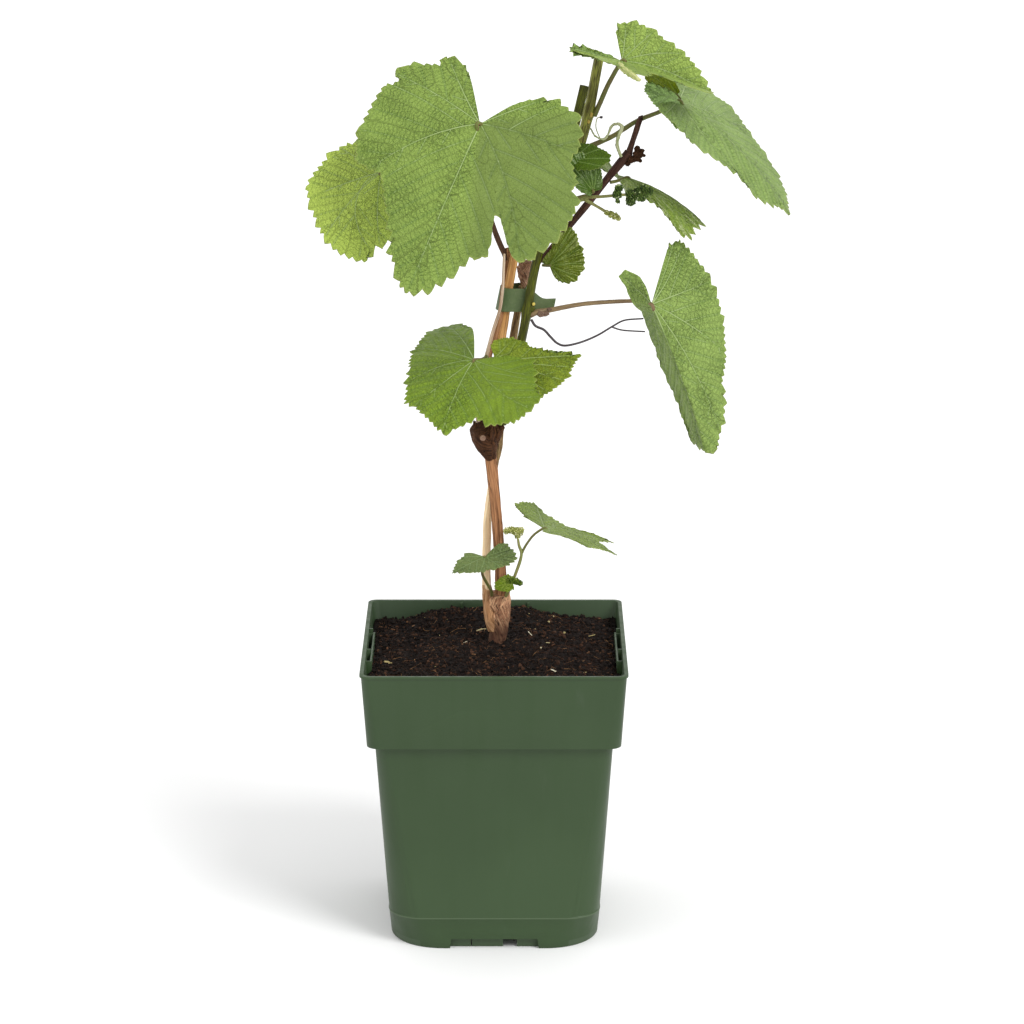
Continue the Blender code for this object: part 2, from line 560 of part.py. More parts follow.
def make_fine_growth():
    """Tendrils, flower buds and the small shoot at the trunk's top."""
    hold = limb("tendril", ((21.1, -13.9, 362.2), (26.6, -14, 358.4), (35, -15, 352), (44.7, -16, 348.4),
                            (57.7, -14, 351.4), (70.2, -10, 358.3), (75, -8, 360.6), (78.6, -6.5, 361.4)),
                (0.75, 0.7, 0.65, 0.5), 2, 6)
    fork = limb("fork", ((68.5, -10.5, 357.3), (74.2, -9, 356.2), (82.5, -6, 355)), (0.6, 0.5), 2, 6)
    finish(combine("tendril", hold, [fork], "UNION"), "tendril", TENDRIL_BROWN, 0.6)
    curl = limb("curl", ((54.3, 1.6, 468.6), (56.7, -3.5, 465.4), (61.2, -4, 463.4), (64, -1, 465.5),
                         (66.3, 0, 470.4), (69.6, -2, 471.8), (71.8, -3, 470.3), (70.2, -4, 466),
                         (69.1, -4, 460.3), (71.4, -4, 453.5)), (0.6, 0.6, 1.2, 1.2, 0.9), 2, 6)
    loop = limb("loop", ((59.5, -4, 464), (57.3, -3, 469.7), (57.8, -2, 474.7), (59.5, -2, 475.5)),
                (0.5, 0.5), 2, 6)
    finish(combine("curled_tendril", curl, [loop], "UNION"), "curled_tendril", PALE_GREEN, 0.6)

    stem = limb("stem", ((43.8, 0.9, 426.6), (47, 0, 428.5), (53, -1, 430.1)), (2.25, 2.25), 2)
    stalk = limb("stalk", ((52, -1, 430), (60, -6, 431.2), (70, -11, 433), (86, -13, 434.5)),
                 (0.85, 0.9, 0.85), 2, 6)
    shoot = limb("shoot", ((51, -1.5, 429), (59.8, -3.5, 424.8), (66.6, -4, 421.2), (70.5, -4, 419.4)),
                 (1.6, 2.2, 2.8, 1.7), 1)
    buds = [lump("bud", centre, 2.8) for centre in (
        (69, -11, 438), (68.4, -11.5, 433.5), (75.5, -12, 437), (76.3, -12.5, 432),
        (81.5, -12.5, 438), (81.8, -13, 434), (85.6, -12.5, 436.7))]
    finish(combine("flower_cluster", stem, [stalk, shoot] + buds, "UNION"),
           "flower_cluster", YOUNG_GREEN, 0.6)

    rise = limb("rise", ((7.9, -5.1, 195.5), (10.8, -7, 207), (15.4, -8, 222.7), (13.6, -8, 233)),
                (1.7, 1.5, 1.3, 1.2), 2, 6)
    crown = [lump("crown", centre, 2.8) for centre in (
        (8, -8, 236.3), (11.6, -8.5, 235.8), (14.6, -8, 235.4))]
    seedling = [lump("seedling", centre, 2.1, 0.6) for centre in ((12.2, -9.2, 206.5), (9.6, -9.5, 208))]
    small = blade("small", dict(
        at=(10.5, -9.4, 206), tip=(0, -10, 202.5), face=(-0.1, -0.7, 0.7),
        arch=20, fold=(5, 5), curl=(0, 0), flare=(0, 0),
        rim=((-90, 0.4), (-40, 0.7), (0, 1), (40, 0.7), (90, 0.4))), 9, 2)
    finish(combine("base_shoot", rise, crown + seedling + [small], "UNION"), "base_shoot", LEAF_GREEN, 0.5)


clear_scene()
make_pot()
make_soil()
make_stems()
make_head()
make_shoots()
make_tie()
make_upper_leaves()
make_young_leaves()
make_fine_growth()
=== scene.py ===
"""A young grapevine in a square nursery pot: its leaves, bark, soil and pot, on a pale studio floor.

Metres, +Z up, front towards -Y. Points of the plant are written in millimetres and scaled by MM.
"""

import math
import random

import bmesh
import bpy
import numpy as np
from mathutils import Matrix, Vector, kdtree, noise


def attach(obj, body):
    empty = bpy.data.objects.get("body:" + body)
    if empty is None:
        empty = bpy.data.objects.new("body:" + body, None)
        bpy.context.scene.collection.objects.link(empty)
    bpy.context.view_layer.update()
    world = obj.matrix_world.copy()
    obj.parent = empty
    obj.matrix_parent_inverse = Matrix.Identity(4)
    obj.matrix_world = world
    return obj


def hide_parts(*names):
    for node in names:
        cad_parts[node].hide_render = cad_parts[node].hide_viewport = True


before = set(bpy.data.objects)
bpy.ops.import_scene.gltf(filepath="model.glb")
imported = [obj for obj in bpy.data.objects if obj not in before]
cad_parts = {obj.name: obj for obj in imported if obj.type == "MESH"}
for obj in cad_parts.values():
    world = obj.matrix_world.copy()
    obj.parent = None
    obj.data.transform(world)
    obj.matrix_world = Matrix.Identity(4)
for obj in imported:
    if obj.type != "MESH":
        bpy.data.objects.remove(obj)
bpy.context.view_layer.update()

MM = 0.001
UV_SCALE = 0.01     # UV units per mm, in blades and limbs
random.seed(7)

# ---------------------------------------------------------------- node trees


class Nodes:
    """Adds nodes to one tree. A value may be a number, a colour, or an output to link."""

    def __init__(self, tree):
        self.tree = tree

    def feed(self, socket, value):
        if isinstance(value, bpy.types.NodeSocket):
            self.tree.links.new(value, socket)
        elif socket.type == "RGBA" and len(value) == 3:
            socket.default_value = (*value, 1.0)
        else:
            socket.default_value = value

    def put(self, kind, sockets=None, **settings):
        node = self.tree.nodes.new("ShaderNode" + kind)
        for name, value in settings.items():
            setattr(node, name, value)
        for name, value in (sockets or {}).items():
            self.feed(node.inputs[name], value)
        return node

    def mix(self, share, low, high, how="MIX"):
        """Two colours mixed by a share."""
        return self.put("Mix", {0: share, 6: low, 7: high}, data_type="RGBA", blend_type=how).outputs[2]

    def maths(self, how, first, second=0.0):
        return self.put("Math", {0: first, 1: second}, operation=how).outputs[0]

    def times(self, first, second):
        return self.maths("MULTIPLY", first, second)

    def plus(self, first, second):
        return self.maths("ADD", first, second)

    def minus(self, first, second):
        return self.maths("SUBTRACT", first, second)

    def grade(self, value, low, high, start=0.0, end=1.0):
        """A value carried from one range to another, and held inside it."""
        sockets = {"Value": value, "From Min": low, "From Max": high, "To Min": start, "To Max": end}
        return self.put("MapRange", sockets, interpolation_type="SMOOTHSTEP").outputs[0]

    def speckle(self, place, scale, detail=2.0, rough=0.5, twist=0.0):
        sockets = {"Vector": place, "Scale": scale, "Detail": detail, "Roughness": rough, "Distortion": twist}
        return self.put("TexNoise", sockets).outputs["Fac"]

    def cells(self, place, scale, feature="DISTANCE_TO_EDGE"):
        return self.put("TexVoronoi", {"Vector": place, "Scale": scale}, feature=feature).outputs["Distance"]

    def stretch(self, place, *scale):
        return self.put("Mapping", {"Vector": place, "Scale": scale}).outputs[0]

    def split(self, place):
        return self.put("SeparateXYZ", {0: place}).outputs

    def uv(self):
        return self.put("UVMap").outputs[0]

    def place(self):
        return self.put("TexCoord").outputs["Object"]

    def mark(self, name):
        """A named mark of the mesh."""
        return self.put("Attribute", attribute_name=name, attribute_type="GEOMETRY").outputs["Fac"]


def new_group(name, inputs, outputs):
    """A node group whose first output is a colour; returns its nodes, its inputs and its outputs."""
    tree = bpy.data.node_groups.new(name, "ShaderNodeTree")
    for title, value in inputs.items():
        colour = isinstance(value, tuple)
        kind = "NodeSocketColor" if colour else "NodeSocketFloat"
        socket = tree.interface.new_socket(title, in_out="INPUT", socket_type=kind)
        socket.default_value = (*value, 1.0) if colour else value
    for title in outputs:
        kind = "NodeSocketColor" if title == "Colour" else "NodeSocketFloat"
        tree.interface.new_socket(title, in_out="OUTPUT", socket_type=kind)
    return Nodes(tree), tree.nodes.new("NodeGroupInput").outputs, tree.nodes.new("NodeGroupOutput").inputs


class Finish(Nodes):
    """A new material and its nodes."""

    def __init__(self, name):
        self.material = bpy.data.materials.new(name)
        self.material.use_nodes = True
        super().__init__(self.material.node_tree)
        self.shader = self.tree.nodes["Principled BSDF"].inputs

    def done(self, colour, roughness, height, depth, strength, specular):
        """Ends the material: its Principled BSDF, and a bump of so many millimetres."""
        self.feed(self.shader["Base Color"], colour)
        self.feed(self.shader["Roughness"], roughness)
        self.feed(self.shader["Specular IOR Level"], specular)
        bump = self.put("Bump", {"Height": height, "Distance": depth * MM, "Strength": strength})
        self.feed(self.shader["Normal"], bump.outputs[0])
        return self.material


# ---------------------------------------------------------------- finishes


def leaf_skin_group():
    """The upper or lower skin of a blade: green patches, veins, rungs and a fine net, with painted shade in the
    grooves and painted glints on the crests.
    """
    n, given, out = new_group("leaf_skin", {
        "Green": (0.2, 0.3, 0.06), "Second Green": (0.15, 0.25, 0.05), "Vein": (0.4, 0.5, 0.2),
        "Margin": (0.3, 0.35, 0.1), "Rung Spacing": 2.6, "Net": 0.5, "Vein Width": 0.42, "Smooth Tone": 1.0,
        "Streaks": 0.0, "Streak": (0.6, 0.7, 0.4)}, ("Colour", "Roughness", "Height"))
    plane = n.uv()
    wobble = n.speckle(plane, 30, 3)
    rung = n.plus(n.mark("rung"), n.times(wobble, 6.0))
    phase = n.maths("PINGPONG", n.maths("DIVIDE", rung, given["Rung Spacing"]), 0.5)
    ladder = n.grade(phase, 0.0, 0.18, 1.0, 0.0)
    crest = n.grade(phase, 0.12, 0.30)
    net = n.grade(n.cells(plane, 48), 0.0, 0.15, 1.0, 0.0)
    fine_net = n.grade(n.cells(plane, 120), 0.0, 0.22, 1.0, 0.0)
    smooth = n.mark("smooth")
    crinkled = n.grade(n.speckle(plane, 4.5, 3), 0.38, 0.62, 0.6, 1.0)
    crinkled = n.times(crinkled, n.minus(1.0, n.times(smooth, 0.65)))

    patches = n.speckle(plane, 5, 4, 0.6)
    green = n.mix(n.grade(patches, 0.35, 0.65), given["Green"], given["Second Green"])
    fine = n.grade(n.speckle(plane, 170, 3, 0.6), 0.3, 0.7, 0.80, 1.20)
    green = n.mix(1.0, green, n.put("CombineColor", {0: fine, 1: fine, 2: fine}).outputs[0], "MULTIPLY")
    # The rungs and the net are drawn as dark lines: painted shade in the grooves between the blade's pillows.
    groove_shade = n.maths("MAXIMUM", n.times(ladder, 0.8), n.times(net, 0.6))
    groove_shade = n.maths("MAXIMUM", groove_shade, n.times(fine_net, 0.3))
    groove_shade = n.times(n.times(groove_shade, crinkled), given["Net"])
    green = n.mix(n.times(groove_shade, 0.8), green, (0.055, 0.120, 0.014))
    # Painted glints: pale flecks along the crests of the rungs.
    painted_glints = n.grade(n.speckle(plane, 130, 2), 0.60, 0.72)
    painted_glints = n.times(n.times(painted_glints, crest), given["Net"])
    green = n.mix(n.times(painted_glints, 0.5), green, given["Vein"])

    gap = n.mark("gap")
    # Painted shade in the grooves either side of the veins.
    green = n.mix(n.times(n.grade(gap, 0.4, 1.3, 1.0, 0.0), 0.30), green, (0.05, 0.11, 0.018))
    green = n.mix(n.times(n.grade(gap, 0.12, given["Vein Width"], 1.0, 0.0), 0.42), green, given["Vein"])
    green = n.mix(n.times(smooth, n.minus(1.0, given["Smooth Tone"])), green, (0.0, 0.0, 0.0))

    beside, ahead, _ = n.split(plane)
    turn = n.times(n.maths("ARCTAN2", beside, ahead), 0.3)
    reach = n.put("VectorMath", {0: plane}, operation="LENGTH").outputs["Value"]
    fan = n.put("CombineXYZ", {0: turn, 1: n.times(reach, 0.08)}).outputs[0]
    # Streaks along the pleats: painted glints on the young and glossy blades, pale streaks of its own on the folded
    # blade.
    dashes = n.grade(n.speckle(plane, 60, 2), 0.36, 0.56, 0.3, 1.0)
    runs = n.times(n.grade(n.speckle(fan, 90, 3, 0.6), 0.50, 0.60), given["Streaks"])
    runs = n.times(n.times(runs, dashes), n.grade(n.mark("margin"), 0.20, 0.50))
    green = n.mix(runs, green, given["Streak"])
    green = n.mix(n.grade(n.mark("margin"), 0.982, 1.0, 0.0, 0.6), green, given["Margin"])

    pillow = n.minus(1.0, n.times(ladder, 0.8))
    pillow = n.minus(pillow, n.times(net, 0.55))
    pillow = n.minus(pillow, n.times(fine_net, 0.2))
    pillow = n.plus(n.times(pillow, crinkled), n.times(n.speckle(plane, 240, 2), 0.4))
    n.feed(out["Colour"], green)
    n.feed(out["Roughness"], n.grade(n.speckle(plane, 45, 3), 0.3, 0.7, 0.40, 0.58))
    n.feed(out["Height"], pillow)
    return n.tree


def bark_group():
    """Fibres and flakes along a limb. Its UV map runs round the limb in U and along it in V."""
    n, given, out = new_group("bark_fibre", {
        "Light": (0.4, 0.22, 0.1), "Middle": (0.25, 0.13, 0.06), "Dark": (0.06, 0.03, 0.015), "Flake": 0.5,
        "Fineness": 1.0, "Grain Run": 1.0}, ("Colour", "Height"))
    around, along, _ = n.split(n.uv())
    place = n.put("CombineXYZ", {0: around, 1: n.maths("DIVIDE", along, given["Grain Run"])}).outputs[0]

    def fibres(run, scale, detail, rough, twist=0.0):
        return n.speckle(n.stretch(place, 1.0, run, 1.0), n.times(given["Fineness"], scale), detail, rough, twist)

    fibre = fibres(0.10, 80.0, 5, 0.65, 0.4)
    hair = fibres(0.05, 230.0, 3, 0.6)
    blotch = fibres(0.22, 20.0, 4, 0.6, 0.6)
    flake = fibres(0.30, 60.0, 5, 0.7, 1.2)
    tone = n.mix(n.grade(fibre, 0.40, 0.60), given["Middle"], given["Light"])
    tone = n.mix(n.grade(blotch, 0.46, 0.64, 0.0, 0.7), tone, given["Middle"])
    tone = n.mix(n.grade(blotch, 0.30, 0.44, 0.65, 0.0), tone, given["Dark"])
    cracks = n.times(n.grade(flake, 0.34, 0.45, 1.0, 0.0), given["Flake"])
    tone = n.mix(cracks, tone, given["Dark"])
    tone = n.mix(n.grade(hair, 0.32, 0.48, 0.75, 0.0), tone, given["Dark"])
    height = n.plus(fibre, n.times(hair, 0.5))
    n.feed(out["Colour"], tone)
    n.feed(out["Height"], n.minus(height, n.times(cracks, 0.7)))
    return n.tree


LEAF_SKIN = leaf_skin_group()
BARK_FIBRE = bark_group()


def blade_finish(name, green, vein, rung, net, depth=0.5, specular=0.2, tone=1.0, streaks=0.0,
                 streak=(0.6, 0.7, 0.4)):
    """A blade's skin; its second green is a shade deeper than the first."""
    made = Finish(name)
    skin = made.put("Group", {
        "Green": green, "Second Green": tuple(0.92 * part for part in green), "Vein": vein,
        "Margin": (0.30, 0.35, 0.09), "Rung Spacing": rung, "Net": net, "Vein Width": 0.42, "Smooth Tone": tone,
        "Streaks": streaks, "Streak": streak}, node_tree=LEAF_SKIN).outputs
    return made.done(skin["Colour"], skin["Roughness"], skin["Height"], depth, 1.0, specular)


def bark_finish(name, light, middle, dark, flake, fineness, depth=0.5, run=1.0, darker_below=None):
    """Bark; run is how far its grain runs on along the limb, and the last argument gives the heights between which
    the bark turns darker towards its foot.
    """
    made = Finish(name)
    bark = made.put("Group", {"Light": light, "Middle": middle, "Dark": dark, "Flake": flake,
                              "Fineness": fineness, "Grain Run": run}, node_tree=BARK_FIBRE).outputs
    colour = bark["Colour"]
    if darker_below:
        height = made.split(made.place())[2]
        colour = made.mix(made.grade(height, *darker_below, 0.88, 0.0), colour, (0.070, 0.030, 0.019))
    return made.done(colour, 0.8, bark["Height"], depth, 0.9, 0.15)


def stalk_finish(name, green, blush, roughness=0.45):
    """A smooth green stalk with a blush in long streaks."""
    made = Finish(name)
    place = made.uv()
    streaks = made.speckle(made.stretch(place, 1.0, 0.08, 1.0), 130, 3, 0.6)
    patches = made.speckle(made.stretch(place, 1.0, 0.4, 1.0), 14, 3)
    colour = made.mix(made.grade(streaks, 0.4, 0.62), green, blush)
    colour = made.mix(made.grade(patches, 0.45, 0.65, 0.0, 0.6), colour, blush)
    return made.done(colour, roughness, streaks, 0.15, 0.6, 0.2)


def rib_finish(name, colour, second):
    made = Finish(name)
    patches = made.speckle(made.place(), 160, 3)
    return made.done(made.mix(made.grade(patches, 0.4, 0.65), colour, second), 0.5, patches, 0.1, 0.5, 0.4)


def pot_finish(name, first, second):
    """Injection-moulded plastic: an even dull green, a faint grain, a painted highlight along the bead, and a little
    dust and scuffing.
    """
    made = Finish(name)
    place = made.place()
    cloud = made.speckle(place, 9, 3)
    colour = made.mix(made.grade(cloud, 0.35, 0.65), first, second)
    # A painted highlight along the bead.
    bead = made.maths("ABSOLUTE", made.minus(made.split(place)[2], BEAD_HEIGHT))
    colour = made.mix(made.grade(bead, 0.2 * MM, 0.5 * MM, 0.45, 0.0), colour, (0.10, 0.14, 0.08))
    drift = made.speckle(made.stretch(place, 1.0, 1.0, 0.25), 60, 5, 0.65)
    colour = made.mix(made.grade(drift, 0.62, 0.78, 0.0, 0.16), colour, (0.09, 0.11, 0.08))
    grain = made.speckle(place, 1400, 2)
    scuffs = made.speckle(made.stretch(place, 1.0, 1.0, 0.1), 120, 4)
    roughness = made.grade(scuffs, 0.35, 0.7, 0.40, 0.56)
    return made.done(colour, roughness, made.plus(grain, made.times(cloud, 2.0)), 0.05, 0.4, 0.36)


def crumb_finish(name, dark, middle, light, roughness=0.95):
    """Loose stuff whose every bit has its own tone."""
    made = Finish(name)
    place = made.place()
    island = made.put("NewGeometry").outputs["Random Per Island"]
    tone = made.mix(made.grade(island, 0.0, 0.75), dark, middle)
    tone = made.mix(made.grade(island, 0.8, 1.0), tone, light)
    grit = made.speckle(place, 900, 3, 0.7)
    tone = made.mix(made.grade(grit, 0.35, 0.7, 0.0, 0.6), tone, dark)
    return made.done(tone, roughness, grit, 0.4, 0.8, 0.2)


def crumb_ground_finish(dark, middle, light):
    """Potting mix as one mass: small clods and fibres between them."""
    made = Finish("potting_mix")
    place = made.place()
    clods = made.cells(place, 520, "F1")
    grit = made.speckle(place, 700, 5, 0.7)
    red = made.speckle(place, 90, 4, 0.6)
    tone = made.mix(made.grade(grit, 0.4, 0.66), dark, middle)
    tone = made.mix(made.grade(red, 0.58, 0.75, 0.0, 0.7), tone, light)
    return made.done(tone, 0.95, made.minus(grit, clods), 0.8, 1.0, 0.2)


def tape_finish():
    made = Finish("tie_tape")
    place = made.place()
    ribbing = made.put("TexWave", {"Vector": place, "Scale": 420, "Distortion": 1.5}, bands_direction="Z")
    cloud = made.speckle(place, 90, 4)
    colour = made.mix(made.grade(cloud, 0.35, 0.65), (0.074, 0.112, 0.041), (0.102, 0.138, 0.057))
    colour = made.mix(made.grade(made.speckle(place, 700, 2), 0.55, 0.75, 0.0, 0.35), colour, (0.15, 0.17, 0.10))
    return made.done(colour, 0.5, made.plus(ribbing.outputs["Fac"], cloud), 0.12, 0.5, 0.25)


# ---------------------------------------------------------------- pieces and meshes


def settle(piece, replaced, slot, *materials):
    """Gives a finished piece its finishes and its place in the frame."""
    piece.data.materials.clear()
    for material in materials:
        piece.data.materials.append(material)
    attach(piece, "root")
    if replaced:
        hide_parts(replaced)
    return piece


def deselect_all():
    bpy.ops.object.select_all(action="DESELECT")


def select_only(*pieces):
    deselect_all()
    for piece in pieces:
        piece.select_set(True)
    bpy.context.view_layer.objects.active = pieces[0]


def link(name, data):
    item = bpy.data.objects.new(name, data)
    bpy.context.scene.collection.objects.link(item)
    return item


def link_bmesh(name, mesh):
    """Turns a finished bmesh into an object."""
    data = bpy.data.meshes.new(name)
    mesh.to_mesh(data)
    mesh.free()
    return link(name, data)


def mesh_piece(name, points, faces, uvs=None, uv_faces=None, marks=None):
    """A mesh object from points and faces. uvs are read by faces too, or by uv_faces; marks are per point."""
    mesh = bpy.data.meshes.new(name)
    mesh.from_pydata(points.tolist() if hasattr(points, "tolist") else points, [], faces)
    if uvs is not None:
        corners = [corner for face in uv_faces or faces for corner in face]
        layer = mesh.uv_layers.new(name="UVMap")
        layer.uv.foreach_set("vector", np.asarray(uvs, dtype=np.float32)[corners].ravel())
    for title, values in (marks or {}).items():
        mark = mesh.attributes.new(title, "FLOAT", "POINT")
        mark.data.foreach_set("value", np.asarray(values, dtype=np.float32))
    mesh.shade_smooth()
    return link(name, mesh)


def grid_faces(rows, across, start=0, closed=False):
    """Quads between rows of points; closed joins each row's end to its start."""
    faces = []
    for row in range(rows - 1):
        low = start + row * across
        for place in range(across if closed else across - 1):
            following = (place + 1) % across
            faces.append((low + place, low + following, low + across + following, low + across + place))
    return faces


class Heap:
    """Points and faces of many small solids, in mm, gathered into one mesh."""

    def __init__(self):
        self.points = []
        self.faces = []

    def add(self, points, faces):
        start = len(self.points)
        self.points += list(points)
        self.faces += [tuple(corner + start for corner in face) for face in faces]

    def piece(self, name, flat=True):
        made = mesh_piece(name, np.array(self.points) * MM, self.faces)
        if flat:
            made.data.shade_flat()
        return made


def apply_place(piece):
    """Moves a piece's place into its mesh, and leaves its object at the origin."""
    piece.data.transform(piece.matrix_basis)
    piece.matrix_basis = Matrix.Identity(4)


def apply_modifiers(piece):
    select_only(piece)
    for modifier in list(piece.modifiers):
        bpy.ops.object.modifier_apply(modifier=modifier.name)


def join(name, *pieces):
    """One piece of several meshes that touch."""
    select_only(*pieces)
    bpy.ops.object.join()
    pieces[0].name = name
    pieces[0].data.name = name
    return pieces[0]


def spline_run(points, step=1.0):
    """A smooth run (Catmull-Rom) through points in mm, about a step apart, and each one's share of the way."""
    run = [Vector(point) for point in points]
    run = [2 * run[0] - run[1]] + run + [2 * run[-1] - run[-2]]
    fine = []
    shares = []
    spans = len(points) - 1
    for index, (before, start, end, after) in enumerate(zip(run, run[1:], run[2:], run[3:])):
        pieces = max(2, math.ceil((end - start).length / step))
        for part in range(pieces + (index == spans - 1)):
            t = part / pieces
            fine.append(0.5 * (2 * start + (end - before) * t
                               + (2 * before - 5 * start + 4 * end - after) * t * t
                               + (3 * start - before - 3 * end + after) * t ** 3))
            shares.append((index + t) / spans)
    return fine, shares


def spread(values, share):
    """A value read off a list that is spread evenly over a run."""
    place = share * (len(values) - 1)
    low = min(int(place), len(values) - 2)
    return values[low] + (values[low + 1] - values[low]) * (place - low)


def limb(name, points, radii, sides=20, step=1.0, relief=None, ends=0.35):
    """A round limb along a smooth run, in mm. relief gives how far its skin stands proud at an angle and length."""
    path, shares = spline_run(points, step)
    around = Vector((0, 0, 1)).cross(path[1] - path[0])
    if around.length < 0.05:
        around = Vector((1, 0, 0))
    skin = []
    uvs = []
    travelled = 0.0
    for index, place in enumerate(path):
        ahead = path[min(index + 1, len(path) - 1)] - path[max(index - 1, 0)]
        ahead.normalize()
        around = (around - around.dot(ahead) * ahead).normalized()
        beside = ahead.cross(around)
        if index:
            travelled += (place - path[index - 1]).length
        radius = spread(radii, shares[index])
        for side in range(sides + 1):
            angle = 2 * math.pi * (side % sides) / sides
            out = math.cos(angle) * around + math.sin(angle) * beside
            proud = relief(out, place + out * radius, travelled) if relief else 0.0
            if side < sides:
                skin.append((place + out * (radius + proud)) * MM)
            uvs.append((side / sides * 2 * math.pi * radius * UV_SCALE, travelled * UV_SCALE))
    first, last = len(skin), len(skin) + 1
    for end, inner, share in ((0, 1, 0), (-1, -2, 1)):
        tilt = (path[end] - path[inner]).normalized()
        skin.append((path[end] + tilt * spread(radii, share) * ends) * MM)
    rings = len(path)
    faces = grid_faces(rings, sides, closed=True)
    uv_faces = grid_faces(rings, sides + 1)
    base, seam = (rings - 1) * sides, (rings - 1) * (sides + 1)
    for side in range(sides):
        following = (side + 1) % sides
        faces += [(first, following, side), (last, base + side, base + following)]
        uv_faces += [(0, side + 1, side), (seam, seam + side, seam + side + 1)]
    return mesh_piece(name, skin, faces, uvs, uv_faces)


def lump(name, centre, radius, squash=1.0, rough=0.25, detail=3, grain=0.5):
    """A bud or a knotty lump, in mm, made uneven by noise."""
    deselect_all()
    bpy.ops.mesh.primitive_ico_sphere_add(subdivisions=detail, radius=radius * MM, location=Vector(centre) * MM)
    piece = bpy.context.object
    piece.name = name
    apply_place(piece)
    middle = Vector(centre) * MM
    for vertex in piece.data.vertices:
        out = vertex.co - middle
        out.z *= squash
        wobble = noise.noise(out * 1000 / (radius * grain) + Vector(centre))
        vertex.co = middle + out * (1 + rough * wobble)
    piece.data.shade_smooth()
    return piece


# ---------------------------------------------------------------- leaves

# Each leaf is a flat pattern (mm beside and ahead of its joint) that is arched, folded and curled.
# rim: angle from the midrib and reach over the leaf's length. veins: angle at the joint and at the rim.
# fold, curl and flare: degrees on the left and the right half. tooth: width and height of a tooth.
# pucker: its middle angle, spread and depth. smooth, even: angles between which the skin or the rim is calmer.


def leaf(**sizes):
    plain = dict(fold=(0, 0), curl=(0, 0), flare=(0, 0), pucker=None, smooth=(0, 0), even=(0, 0))
    return {**plain, **sizes}


